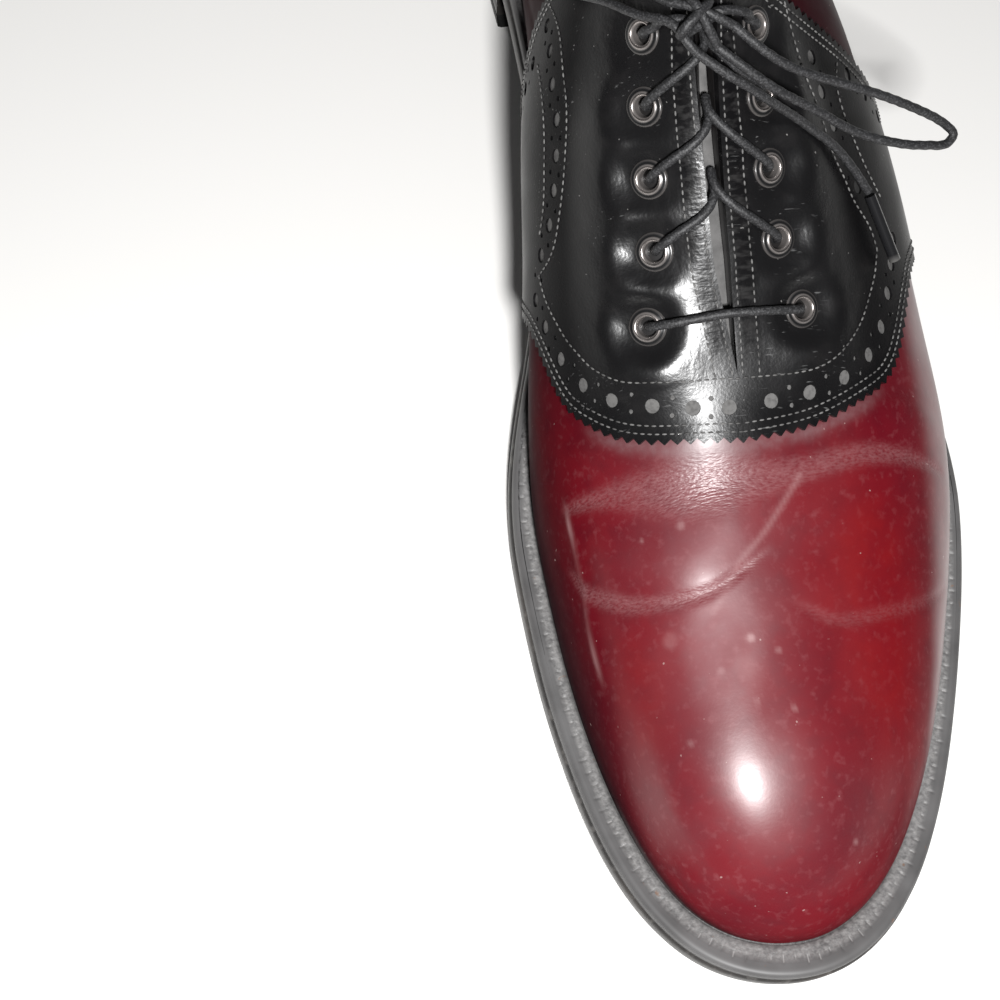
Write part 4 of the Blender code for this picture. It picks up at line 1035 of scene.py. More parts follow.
def saddle_height(s, base):
    """Height of the saddle's outside: fuller beside the slit, dipped round the eyelets."""
    outer = from_ridge(s, base) - BULGE_FROM_RIDGE
    fuller = FACING_BULGE * bell(outer, 0, np.where(outer < 0, BULGE_INNER, BULGE_OUTER))
    fuller *= between(base[..., 1], *BULGE_RUN)
    level = np.ones(base.shape[:-1])
    for centre in EYELET_CENTRES:
        away = np.linalg.norm(base - centre, axis=-1)
        level = level * (1 - np.exp(-((away / DIP_RADIUS) ** 4)))
    return SADDLE_HEIGHT + fuller * level - EYELET_DIP * (1 - level)


def on_saddle(side, along, t, lift=0.0):
    """Points of the saddle's outside, or that far above it."""
    s = loop_s_of(side, np.asarray(along, float))
    base = LAST.point(s, t)
    return base + LAST.normal(s, t) * (saddle_height(s, base) + lift)[..., None]


def saddle_basis(side, along, t):
    """Two level directions and the outward normal on the saddle, and the runs of along and t."""
    a, b = 0.1, 0.001
    run_a = (on_saddle(side, along + a, t) - on_saddle(side, along - a, t)) / (2 * a)
    run_t = (on_saddle(side, along, t + b) - on_saddle(side, along, t - b)) / (2 * b)
    normal = np.cross(run_t, run_a) * -side
    normal /= np.linalg.norm(normal, axis=-1, keepdims=True)
    first = run_a / np.linalg.norm(run_a, axis=-1, keepdims=True)
    return first, np.cross(normal, first), normal, run_a, run_t


def shifted(side, line, offset):
    """(along, t) moved by offsets in space, which lie in the leather."""
    *_, run_a, run_t = saddle_basis(side, line[:, 0], line[:, 1])
    aa, at, tt = (run_a * run_a).sum(-1), (run_a * run_t).sum(-1), (run_t * run_t).sum(-1)
    oa, ot = (offset * run_a).sum(-1), (offset * run_t).sum(-1)
    spread = aa * tt - at * at
    return line + np.column_stack([(oa * tt - ot * at) / spread, (ot * aa - oa * at) / spread])


def round_hole(side, along, t, radius, steps):
    """(along, t) of points on a circle in the leather."""
    line = np.repeat([[along, t]], steps, 0)
    first, second, *_ = saddle_basis(side, line[:, 0], line[:, 1])
    turn = np.linspace(0, 2 * np.pi, steps, endpoint=False)[:, None]
    return shifted(side, line, radius * (np.cos(turn) * first + np.sin(turn) * second))


def seam_line(rows, count):
    """Evenly spread (along, t) on the smooth line through a few."""
    line = smooth_line(np.array(rows, float) * [1, T_SCALE], count)
    return line / [1, T_SCALE]


def beside(side, line, distance, towards):
    """A line that runs that far beside another, on the side given as a direction in (along, t)."""
    *_, normal, run_a, run_t = saddle_basis(side, line[:, 0], line[:, 1])
    run = np.gradient(on_saddle(side, line[:, 0], line[:, 1]), axis=0)
    out = np.cross(normal, run)
    out /= np.linalg.norm(out, axis=-1, keepdims=True)
    guide = run_a * towards[0] + run_t * towards[1] / T_SCALE
    out *= np.sign((out * guide).sum(-1).mean())
    return shifted(side, line, out * distance)


def edge_line(side, front, count):
    """(along, t) of the saddle's front or rear edge, from its foot to its top."""
    name = f"{'front' if front else 'rear'}_{'medial' if side < 0 else 'lateral'}"
    share = np.linspace(SADDLE_FOOT, 1.0, 400)
    along = spline(edges.share, getattr(edges, name)[:, None])(share)[:, 0]
    t = share * top_share(loop_s_of(side, along))
    walked = walk(on_saddle(side, along, t))
    even = np.linspace(0, walked[-1], count)
    return np.column_stack([np.interp(even, walked, along), np.interp(even, walked, t)])


def pinked(side, front):
    """The edge cut into small teeth by the pinking machine."""
    line = edge_line(side, front, 400)
    length = walk(on_saddle(side, line[:, 0], line[:, 1]))[-1]
    teeth = round(length / PINK_PITCH)
    line = edge_line(side, front, 2 * teeth + 1)
    cut = beside(side, line, PINK_DEPTH, (-1, 0) if front else (1, 0))
    cut[-1] = line[-1]
    return np.where((np.arange(len(line)) % 2 == 0)[:, None], line, cut)


def inside_of(points, polygon):
    """Which points lie inside a closed polygon."""
    x, y = points[:, 0:1], points[:, 1:2]
    x0, y0 = polygon[:, 0], polygon[:, 1]
    x1, y1 = np.roll(x0, -1), np.roll(y0, -1)
    crosses = (y0 > y) != (y1 > y)
    reach = x0 + (y - y0) / np.where(y1 == y0, 1e-9, y1 - y0) * (x1 - x0)
    return (np.count_nonzero(crosses & (x < reach), axis=1) % 2) == 1


saddle_points = []
saddle_normals = []
saddle_faces = []
cut_edges = []
pulled = []
tucked = []
dulled = []
punched = []
throat_along = float(LAST.foot_along(THROAT))
for side in (MEDIAL, LATERAL):
    front = pinked(side, True)
    rear = pinked(side, False)
    joined_along = np.linspace(front[-1, 0], throat_along, 12)[1:]
    top_along = np.concatenate([joined_along, np.linspace(throat_along, rear[-1, 0], 75)[1:-1]])
    top = np.column_stack([top_along, top_share(loop_s_of(side, top_along))])
    foot_along = np.linspace(rear[0, 0], front[0, 0], 40)[1:-1]
    foot = np.column_stack([foot_along, SADDLE_FOOT * top_share(loop_s_of(side, foot_along))])
    outline = np.concatenate([front, top, rear[::-1], foot])
    rings = [outline]
    for along, t in BAND_HOLES[side] + REAR_HOLES[side]:
        rings.append(round_hole(side, along, t, HOLE_RADIUS, HOLE_STEPS))
        punched.append((side, along, t, HOLE_RADIUS))
    for row in (BAND_HOLES[side], REAR_HOLES[side]):
        line = np.array(row)
        places = on_saddle(side, line[:, 0], line[:, 1])
        for i in range(len(line) - 1):
            if side == LATERAL and i == LATERAL_CUSP and row is BAND_HOLES[side]:
                continue
            middle = (line[i] + line[i + 1]) / 2
            normal = saddle_basis(side, middle[None, 0], middle[None, 1])[2]
            across_band = np.cross(normal[0], places[i + 1] - places[i])
            across_band /= np.linalg.norm(across_band)
            for way in (-1, 1):
                dot = shifted(side, middle[None], across_band[None] * DOT_APART * way)[0]
                rings.append(round_hole(side, dot[0], dot[1], DOT_RADIUS, DOT_STEPS))
                punched.append((side, dot[0], dot[1], DOT_RADIUS))
    for s, t in eyelet_places[(0 if side < 0 else 1) :: 2]:
        rings.append(round_hole(side, float(LAST.foot_along(s)), t, EYELET_HOLE, EYELET_HOLE_STEPS))
    flat = []
    ring_edges = []
    for ring in rings:
        first = len(flat)
        flat += (ring * [1, T_SCALE]).tolist()
        ring_edges += [(first + i, first + (i + 1) % len(ring)) for i in range(len(ring))]
    grid_a, grid_t = np.meshgrid(np.arange(*MESH_ALONG, MESH_STEP), np.arange(*MESH_T, MESH_STEP))
    grid = np.column_stack([grid_a.ravel(), grid_t.ravel()])
    grid = grid[inside_of(grid, outline * [1, T_SCALE])]
    nearest = np.min(np.linalg.norm(grid[:, None] - np.array(flat)[None], axis=2), axis=1)
    flat += grid[nearest > MESH_CLEAR].tolist()
    made = geometry.delaunay_2d_cdt([Vector(p) for p in flat], ring_edges, [], 0, 1e-5)
    corners = np.array([tuple(v) for v in made[0]])
    triangles = np.array(made[2])
    centres = corners[triangles].mean(axis=1)
    keep = inside_of(centres, outline * [1, T_SCALE])
    for ring in rings[1:]:
        keep &= ~inside_of(centres, ring * [1, T_SCALE])
    triangles = triangles[keep]
    along, t = corners[:, 0], corners[:, 1] / T_SCALE
    placed = on_saddle(side, along, t)
    seam = (along > throat_along - 0.01) & (t > 0.9995)
    placed[seam] = (placed[seam] + on_saddle(-side, along[seam], np.ones(np.count_nonzero(seam)))) / 2
    *_, normal, _, _ = saddle_basis(side, along, np.minimum(t, 0.9985))
    a, b, c = (placed[triangles[:, i]] for i in range(3))
    outwards = (np.cross(b - a, c - a) * normal[triangles[:, 0]]).sum(-1) > 0
    if outwards.mean() > 0.5:
        triangles = triangles[:, ::-1]
    saddle_faces += (triangles + len(saddle_points)).tolist()
    saddle_points += placed.tolist()
    saddle_normals += to_frame(normal + [MIDDLE[0], MIDDLE[1], 0]).tolist()
    to_eyelet = np.linalg.norm(placed[:, None] - EYELET_CENTRES[None], axis=2).min(axis=1)
    pulled += bell(to_eyelet, 0, PULL_REACH).tolist()
    rib_s = loop_s_of(side, along)
    to_slit = from_ridge(rib_s, LAST.point(rib_s, t))
    tuck = np.exp(-(((to_slit - TUCK_MIDDLE) / TUCK_HALF_WIDTH) ** 4))
    tuck *= blend(throat_along - along, *TUCK_FADE)
    band = blend(along - throat_along, *BAND_FADE) * (1 - blend(to_slit, *BAND_REACH))
    tucked += tuck.tolist()
    dull_front = np.maximum(TUCK_DULL * tuck, BAND_DULL * band)
    dulled += np.maximum(dull_front, blend(to_slit, *SIDE_DULL_FADE)).tolist()
    # Cut edges go down to the upper, except along the joined ridge
    used = {(int(f[i]), int(f[(i + 1) % 3])) for f in triangles for i in range(3)}
    for a, b in used:
        if (b, a) not in used and not (seam[a] and seam[b]):
            low = on_saddle(side, along[[b, a]], t[[b, a]], -SADDLE_CUT)
            cut_edges.append((placed[a], placed[b], *low))
for quad in sorted(cut_edges, key=lambda quad: tuple(quad[0])):
    first = len(saddle_points)
    saddle_points += [tuple(p) for p in quad]
    saddle_normals += [(0.0, 0.0, 0.0)] * 4
    pulled += [0.0] * 4
    tucked += [0.0] * 4
    dulled += [CUT_DULL] * 4
    saddle_faces.append((first + 3, first + 2, first + 1, first))

SADDLE_BLACK = (0.0048, 0.0046, 0.0050)
SADDLE_SCUFF = (0.022, 0.020, 0.020)
HAIR_GREY = (0.10, 0.10, 0.10)
FLECK_GREY = (0.30, 0.29, 0.28)
TUCK_SHEEN_GREY = (0.07, 0.068, 0.067)
SADDLE_COAT = 0.2
black = Finish("black_leather", SADDLE_BLACK, 0.36, coat=SADDLE_COAT, coat_roughness=0.26)
black.tint(black.cloud(6.0, 5.0, 0.54, 0.78, 0.0, 0.30), SADDLE_SCUFF)
hairs = black.ramp(black.noise(0.5, 2.0, stretch=(0.12, 1.0, 0.5)), 0.66, 0.74)
black.tint(black.times(hairs, black.cloud(16.0, 2.0, 0.5, 0.62)), HAIR_GREY)
black.tint(black.cloud(1.1, 1.0, 0.785, 0.81, 0.0, 0.5), FLECK_GREY)
tucks = black.noise(1.1, 2.0, stretch=(0.30, 1.0, 1.0))
# Painted sheen: the crests of the puckers beside the slit are drawn paler grey
black.tint(black.times(black.attribute("tucked"), black.ramp(tucks, 0.46, 0.66, 0.0, 0.25)), TUCK_SHEEN_GREY)
black.drive("Roughness", black.cloud(11.0, 4.0, 0.3, 0.7, 0.26, 0.34))
black.drive("IOR", black.painted("dulled", 0.0, 1.0, 1.5, 1.12))
black.drive("Coat Weight", black.painted("dulled", 0.0, 0.9, SADDLE_COAT, 0.0))
black.bump(black.noise(0.6, 3.0), 0.22, 0.14)
folds = black.noise(5.0, 3.0, stretch=(1.0, 0.55, 0.8))
black.bump(black.times(folds, black.attribute("pulled")), 0.35, 0.9)
black.bump(black.times(tucks, black.attribute("tucked")), 0.3, 0.4)
black.bump(black.noise(18.0, 2.0), 0.12, 1.5)
saddle = add_piece(
    "saddle_leather",
    np.array(saddle_points),
    saddle_faces,
    black.material,
    ("saddle",),
    attributes={"pulled": pulled, "tucked": tucked, "dulled": dulled},
)
saddle.data.normals_split_custom_set_from_vertices(saddle_normals)

# What shows in the punched holes: polish and dust, packed on the leather below and dried to a mid grey.
# Each hole has a small disc a little below the saddle's face, wider than the hole so that no gap shows.

HOLE_FLOOR = -0.5
HOLE_OVERLAP = 0.15
DISC_STEPS = 12
# The lateral holes before the cusp are packed with black polish
DARK_FROM, DARK_TO = 142, 150
HOLE_GREY = (0.125, 0.122, 0.119)
HOLE_DARK = (0.055, 0.053, 0.052)
HOLE_BLACK = (0.02, 0.02, 0.02)
points = []
faces = []
dark = []
for side, along, t, radius in punched:
    ring = round_hole(side, along, t, radius + HOLE_OVERLAP, DISC_STEPS)
    first = len(points)
    points += on_saddle(side, ring[:, 0], ring[:, 1], HOLE_FLOOR).tolist()
    order = list(range(first, first + DISC_STEPS))
    faces.append(order if side > 0 else order[::-1])
    dark += [1.0 if side > 0 and DARK_FROM < along < DARK_TO else 0.0] * DISC_STEPS
filling = Finish("hole_dust", HOLE_GREY, 0.8)
filling.tint(filling.cloud(0.9, 3.0, 0.45, 0.7, 0.0, 0.7), HOLE_DARK)
filling.tint(filling.attribute("dark"), HOLE_BLACK)
add_piece("hole_dust", np.array(points), faces, filling.material, attributes={"dark": dark})

# Stitching: waxed grey thread in short lock stitches, in double rows beside the edges and the slit
# and in single rows along the band of holes. Each stitch is a small bead laid along its seam.

STITCH_PITCH = 1.55
STITCH_LENGTH = 1.1
STITCH_RADIUS = 0.22
STITCH_LIFT = 0.08
EDGE_ROWS = (2.3, 4.0)
FACING_ROWS = (1.0, 4.4)
THREAD_GREY = (0.16, 0.157, 0.153)
THREAD_DARK = (0.06, 0.058, 0.057)
# Single rows, as along and t
SEAMS = {
    MEDIAL: [
        [(155.7, 0.412), (161.2, 0.446), (166.6, 0.492), (170.9, 0.529), (174.8, 0.571), (177.4, 0.6)]
        + [(180.3, 0.646), (182.6, 0.696), (184.3, 0.775), (185.6, 0.862), (186.2, 0.942), (186.6, 1.0)],
        [(100.3, 0.454), (108.9, 0.508), (114.5, 0.533), (121.7, 0.554), (128.2, 0.571), (134.7, 0.571)]
        + [(139.3, 0.562), (144.1, 0.546), (148.6, 0.525), (152.8, 0.496), (154.4, 0.467), (155.4, 0.41)],
        [(112.8, 0.412), (120, 0.446), (131.2, 0.467), (136.7, 0.462), (141.9, 0.454), (144.8, 0.442)]
        + [(147.4, 0.425)],
    ],
    LATERAL: [
        [(160.2, 0.546), (165.7, 0.575), (170.2, 0.608), (175.7, 0.654), (180.3, 0.708), (184.6, 0.779)]
        + [(186.2, 0.842), (186.6, 0.908), (186.6, 1.0)],
        [(116.4, 0.729), (122.3, 0.717), (130.8, 0.704), (133.8, 0.692), (140.3, 0.671), (144.5, 0.654)]
        + [(148, 0.629), (151.5, 0.608), (156.4, 0.558), (160.2, 0.546)],
        [(124.3, 0.562), (130, 0.585), (138, 0.565), (144, 0.53), (148.5, 0.49)],
    ],
}
lines = []
facing_s = np.linspace(THROAT + 0.5, FACING_TOP, 90)
for side in (MEDIAL, LATERAL):
    for seam_points in SEAMS[side]:
        lines.append((side, seam_line(seam_points, 120)))
    for front in (True, False):
        for distance in EDGE_ROWS:
            row = beside(side, edge_line(side, front, 160), distance, (-1, 0) if front else (1, 0))
            lines.append((side, row[row[:, 1] < 0.995]))
    for distance in FACING_ROWS:
        t = [LAST.share_from_top(s if side < 0 else LAST.other_side(s), distance) for s in facing_s]
        lines.append((side, np.column_stack([LAST.foot_along(facing_s), t])))
thread_curve = bpy.data.curves.new("stitch_lines", "CURVE")
thread_curve.dimensions = "3D"
for side, line in lines:
    run = thread_curve.splines.new("POLY")
    run.points.add(len(line) - 1)
    placed = to_frame(on_saddle(side, line[:, 0], line[:, 1], STITCH_LIFT))
    run.points.foreach_set("co", np.column_stack([placed, np.ones(len(line))]).ravel())
seams = bpy.data.objects.new("stitch_lines", thread_curve)
bpy.context.scene.collection.objects.link(seams)

stitching = bpy.data.node_groups.new("lock_stitches", "GeometryNodeTree")
stitching.interface.new_socket("Geometry", in_out="INPUT", socket_type="NodeSocketGeometry")
for name in ("Pitch", "Length", "Radius"):
    stitching.interface.new_socket(name, in_out="INPUT", socket_type="NodeSocketFloat")
stitching.interface.new_socket("Thread", in_out="INPUT", socket_type="NodeSocketMaterial")
stitching.interface.new_socket("Geometry", in_out="OUTPUT", socket_type="NodeSocketGeometry")
made = {}
for key, kind in (
    ("enter", "NodeGroupInput"),
    ("along", "GeometryNodeCurveToPoints"),
    ("turn", "FunctionNodeAlignRotationToVector"),
    ("bead", "GeometryNodeMeshUVSphere"),
    ("half", "ShaderNodeMath"),
    ("size", "ShaderNodeCombineXYZ"),
    ("lay", "GeometryNodeInstanceOnPoints"),
    ("real", "GeometryNodeRealizeInstances"),
    ("paint", "GeometryNodeSetMaterial"),
    ("leave", "NodeGroupOutput"),
):
    made[key] = stitching.nodes.new(kind)
made["along"].mode = "LENGTH"
made["turn"].axis = "Z"
made["half"].operation = "MULTIPLY"
made["half"].inputs[1].default_value = 0.5
made["bead"].inputs["Segments"].default_value = 6
made["bead"].inputs["Rings"].default_value = 4
made["bead"].inputs["Radius"].default_value = 1.0
for start, out_name, end, in_name in (
    ("enter", "Geometry", "along", "Curve"),
    ("enter", "Pitch", "along", "Length"),
    ("along", "Tangent", "turn", "Vector"),
    ("enter", "Length", "half", 0),
    ("enter", "Radius", "size", "X"),
    ("enter", "Radius", "size", "Y"),
    ("half", 0, "size", "Z"),
    ("along", "Points", "lay", "Points"),
    ("bead", "Mesh", "lay", "Instance"),
    ("turn", "Rotation", "lay", "Rotation"),
    ("size", "Vector", "lay", "Scale"),
    ("lay", "Instances", "real", "Geometry"),
    ("real", "Geometry", "paint", "Geometry"),
    ("enter", "Thread", "paint", "Material"),
    ("paint", "Geometry", "leave", "Geometry"),
):
    stitching.links.new(made[start].outputs[out_name], made[end].inputs[in_name])
thread = Finish("seam_thread", THREAD_GREY, 0.7)
thread.tint(thread.cloud(4.0, 4.0, 0.42, 0.62), THREAD_DARK)
sew = seams.modifiers.new("stitches", "NODES")
sew.node_group = stitching
values = {
    "Pitch": STITCH_PITCH * MM,
    "Length": STITCH_LENGTH * MM,
    "Radius": STITCH_RADIUS * MM,
    "Thread": thread.material,
}
for socket in stitching.interface.items_tree:
    if socket.name in values:
        sew[socket.identifier] = values[socket.name]
bpy.context.view_layer.update()
stitches = bpy.data.meshes.new_from_object(seams.evaluated_get(bpy.context.evaluated_depsgraph_get()))
bpy.data.objects.remove(seams)
stitches.shade_smooth()
add_mesh("stitches", stitches, thread.material)

# The eyelets: ten rings of black enamelled brass, pressed through saddle and upper and rolled over.
# The lace has rubbed the enamel from the roll, where bare metal shines. Bare metal at the flange's outer edge
# is a painted glint.

EYELET_SEAT = SADDLE_HEIGHT - EYELET_DIP + 0.12
EYELET_STEPS = 32
# Radius, height above the seat and share of bare metal (a painted glint at the flange's outer edge), from the
# flange's edge to the foot of the bore
EYELET_PROFILE = [
    (4.00, -0.15, 0.1),
    (3.98, 0.16, 0.2),
    (3.82, 0.34, 0.1),
    (3.50, 0.38, 0.0),
    (3.15, 0.42, 0.0),
    (2.90, 0.58, 0.35),
    (2.66, 0.72, 1.0),
    (2.42, 0.70, 1.0),
    (2.20, 0.46, 0.5),
    (2.04, 0.05, 0.2),
    (1.95, -0.60, 0.3),
    (1.92, -1.60, 0.3),
    (1.92, -3.20, 0.1),
]
ENAMEL_BLACK = (0.008, 0.008, 0.0085)
BARE_METAL_AND_GLINT = (0.46, 0.42, 0.40)
metal = Finish("eyelet_metal", ENAMEL_BLACK, 0.2)
# Worn bare metal on the roll, and a painted glint of the same metal at the flange's outer edge
metal.tint(metal.attribute("bare"), BARE_METAL_AND_GLINT)
metal.drive("Metallic", metal.attribute("bare"))
metal.drive("Roughness", metal.cloud(1.5, 3.0, 0.3, 0.7, 0.20, 0.34))


def seat_of(s, t):
    """Centre on the last, outward normal and two level directions of a place."""
    normal = LAST.normal(s, t)
    first = np.cross([0.0, 1.0, 0.0], normal)
    first /= np.linalg.norm(first)
    return LAST.point(s, t), normal, first, np.cross(normal, first)


for number, (s, t) in enumerate(eyelet_places):
    centre, normal, first, second = seat_of(s, t)
    turn = np.linspace(0, 2 * np.pi, EYELET_STEPS, endpoint=False)
    round_way = np.cos(turn)[:, None] * first + np.sin(turn)[:, None] * second
    points = []
    bare_and_glint_share = []
    for radius, height, share in EYELET_PROFILE:
        points.append(centre + normal * (EYELET_SEAT + height) + round_way * radius)
        bare_and_glint_share.append(np.full(EYELET_STEPS, share))
    name = f"eyelet_{'medial' if number % 2 == 0 else 'lateral'}_{number // 2 + 1}"
    add_piece(
        f"{name}_ring",
        np.concatenate(points),
        ring_quads(len(EYELET_PROFILE), EYELET_STEPS)[:, [1, 2, 3, 0]].tolist(),
        metal.material,
        (name,),
        attributes={"bare": np.concatenate(bare_and_glint_share)},
    )

# The lace: round waxed cotton cord, dark grey and speckled. It crosses straight at the lowest eyelets,
# dives into the slit from the next ones, and ends in a bow with two loops and two ends.

LACE_RADIUS = 0.93
LACE_TWIST = 3.0
LACE_SIDES = 14
LACE_SPACING = 0.55
LACE_STRANDS = 3
STRAND_DEPTH = 0.05
LACE_BLACK = (0.014, 0.014, 0.015)
LACE_SPECKLE = (0.070, 0.070, 0.073)
cord = Finish("lace_cord", LACE_BLACK, 0.55)
cord.tint(cord.cloud(0.40, 1.5, 0.50, 0.66, 0.0, 0.7), LACE_SPECKLE)
cord.bump(cord.noise(0.45, 2.0), 0.45, 0.2)


def tube(route, radius, spacing=LACE_SPACING, twist=STRAND_DEPTH):
    """Points and faces of a twisted cord along a smooth route, and its centre line."""
    centre = smooth_line(route, max(8, round(walk(route)[-1] / spacing)))
    run = np.gradient(centre, axis=0)
    run /= np.linalg.norm(run, axis=1, keepdims=True)
    guide = np.cross(run[0], [0.0, 0.0, 1.0])
    if np.linalg.norm(guide) < 0.1:
        guide = np.cross(run[0], [0.0, 1.0, 0.0])
    first = []
    for direction in run:
        guide = guide - direction * (guide @ direction)
        guide /= np.linalg.norm(guide)
        first.append(guide)
    first = np.array(first)
    second = np.cross(run, first)
    angle = np.linspace(0, 2 * np.pi, LACE_SIDES, endpoint=False)
    turned = 2 * np.pi * walk(centre)[:, None] / LACE_TWIST
    strand = 1 + twist * np.cos(LACE_STRANDS * angle[None, :] + turned)
    ring = np.cos(angle)[None, :, None] * first[:, None] + np.sin(angle)[None, :, None] * second[:, None]
    points = centre[:, None] + ring * (radius * strand)[..., None]
    count = len(centre)
    faces = ring_quads(count, LACE_SIDES)[:, [0, 3, 2, 1]].tolist()
    faces.append(tuple(range(LACE_SIDES)))
    faces.append(tuple(range((count - 1) * LACE_SIDES, count * LACE_SIDES))[::-1])
    return points.reshape(-1, 3), faces, centre


def add_cord(name, routes, replaces):
    """One piece of lace, made of one or more runs of cord."""
    points = []
    faces = []
    for route in routes:
        ring_points, ring_faces, centre = tube(np.asarray(route, float), LACE_RADIUS)
        faces += [tuple(i + len(points) for i in face) for face in ring_faces]
        points += ring_points.tolist()
    obj = add_piece(name, np.array(points), faces, cord.material, replaces, sharp=60)
    return obj, centre


# Up through an eyelet's bore and over its rim: height above the last, and how far towards the goal
EYELET_CLIMB = [(-3.5, -0.4), (-0.8, -0.2), (1.3, 0.2), (2.7, 1.4), (3.2, 3.0), (3.3, 4.9)]


def out_of_eyelet(s, t, goal):
    """The start of a run: up through the eyelet's bore and over its rim towards a point."""
    centre, normal, *_ = seat_of(s, t)
    way = goal - centre
    way -= normal * (way @ normal)
    way /= np.linalg.norm(way)
    return [centre + normal * up + way * along for up, along in EYELET_CLIMB]


ON_LEATHER = SADDLE_HEIGHT + LACE_RADIUS + 0.1
BAR_SHARE = 0.985
BAR_LIFT = 0.5
HALF_WAY_LIFT = 0.75
LIP_SHARE = 0.995
LIP_SINK = 0.3
# How far beyond its eyelet a run goes into the slit, and how it lies in there, as a way from the ridge
DIVE_AHEAD = {MEDIAL: 6.6, LATERAL: 8.2}
DIVE_RUN = 3.0
DIVE = np.array([(0, 0, 0.9), (0, -3.0, 0.6)])
# How the last pair goes on to the knot
TO_KNOT = {
    MEDIAL: [(-17.0, 128.4, 108.8), (-13.5, 130.0, 112.0), (-10.5, 131.2, 112.8)],
    LATERAL: [(1.2, 128.4, 108.2), (-4.0, 129.0, 112.0), (-9.0, 130.6, 113.2)],
}
for pair in range(EYELET_PAIRS):
    (medial_s, medial_t), (lateral_s, lateral_t) = eyelet_places[2 * pair : 2 * pair + 2]
    walked = EYELET_FIRST + pair * EYELET_PITCH
    if pair == 0:
        ridge_s = float(LAST.up_the_ridge(walked))
        crown = [LAST.above(s, BAR_SHARE, ON_LEATHER + BAR_LIFT) for s in (ridge_s, LAST.other_side(ridge_s))]
        start = out_of_eyelet(medial_s, medial_t, crown[0])
        end = out_of_eyelet(lateral_s, lateral_t, crown[1])
        add_cord("lace_across_1", [start + crown + end[::-1]], ("lace_bar_1",))
        continue
    routes = []
    for side, s, t in ((MEDIAL, medial_s, medial_t), (LATERAL, lateral_s, lateral_t)):
        if pair == EYELET_PAIRS - 1:
            on_to_knot = [np.array(p) for p in TO_KNOT[side]]
            routes.append(out_of_eyelet(s, t, on_to_knot[0]) + on_to_knot)
            continue
        apex_medial = float(LAST.up_the_ridge(walked + DIVE_AHEAD[side]))
        apex_s = apex_medial if side == MEDIAL else LAST.other_side(apex_medial)
        lip = LAST.above(apex_s, LIP_SHARE, ON_LEATHER - LIP_SINK)
        half_way = LAST.above((s + apex_s) / 2, (t + 1) / 2, ON_LEATHER + HALF_WAY_LIFT)
        beyond = float(LAST.up_the_ridge(walked + DIVE_AHEAD[side] + DIVE_RUN))
        ridge = LAST.point(np.array([beyond, LAST.other_side(beyond)]), np.ones(2)).mean(axis=0)
        routes.append(out_of_eyelet(s, t, half_way) + [half_way, lip, *(ridge + DIVE)])
    add_cord(f"lace_through_{pair + 1}", routes, (f"lace_cross_{pair + 1}",))

# The bow: two loops and two tipped ends leave a small knot, one of each to either side.
# It is tied by hand from the same cord. Each end is bound in a tip of black film, the aglet.

LATERAL_LOOP = [(-3.4, 132.7, 112.4), (1.2, 136.2, 110.0), (6.2, 138.6, 106.9), (14.6, 140.2, 102.4)]
LATERAL_LOOP += [(23.5, 141.0, 97.8), (33.0, 141.5, 91.5), (40.4, 142.2, 86.1), (45.0, 143.2, 82.3)]
LATERAL_LOOP += [(46.4, 144.6, 80.9), (45.2, 146.0, 80.5), (41.6, 146.8, 81.4), (37.5, 147.1, 82.9)]
LATERAL_LOOP += [(31.5, 147.0, 85.4), (22.6, 145.6, 89.6), (14.5, 143.8, 95.8), (6.0, 142.4, 102.4)]
LATERAL_LOOP += [(-0.5, 139.8, 107.0), (-6.6, 135.6, 110.0)]
LATERAL_END = [(-10.5, 136.2, 109.4), (-4.5, 139.8, 106.4), (0.5, 141.6, 103.0), (5.6, 142.6, 98.2)]
LATERAL_END += [(11.0, 143.0, 92.4), (16.0, 143.8, 87.0), (20.6, 144.8, 82.2), (25.2, 147.4, 76.9)]
LATERAL_END += [(29.4, 151.0, 71.4)]
LATERAL_AGLET = [(29.7, 151.6, 70.9), (35.0, 163.0, 62.2)]
MEDIAL_LOOP = [(-15.2, 126.9, 113.2), (-18.4, 123.4, 112.2), (-22.0, 117.6, 109.6), (-25.4, 110.9, 105.6)]
MEDIAL_LOOP += [(-28.4, 104.6, 99.4), (-31.0, 98.7, 92.2), (-33.6, 94.2, 85.0), (-35.6, 92.4, 79.2)]
MEDIAL_LOOP += [(-36.4, 93.6, 76.8), (-36.2, 96.6, 78.0), (-35.3, 100.2, 81.2), (-33.6, 105.9, 87.8)]
MEDIAL_LOOP += [(-31.0, 111.2, 95.0), (-27.8, 116.5, 100.8), (-24.2, 121.5, 105.6), (-20.3, 126.6, 109.2)]
MEDIAL_LOOP += [(-16.9, 129.3, 111.6)]
MEDIAL_END = [(-12.0, 126.7, 115.4), (-13.2, 123.4, 115.8), (-15.6, 119.4, 114.0), (-18.8, 115.2, 110.8)]
MEDIAL_END += [(-22.0, 110.8, 106.2), (-25.0, 106.2, 100.4), (-27.6, 101.4, 93.6), (-29.7, 96.8, 86.8)]
MEDIAL_END += [(-31.3, 92.8, 80.6), (-32.4, 89.6, 75.4)]
MEDIAL_AGLET = [(-32.5, 89.4, 75.1), (-35.1, 81.9, 62.9)]
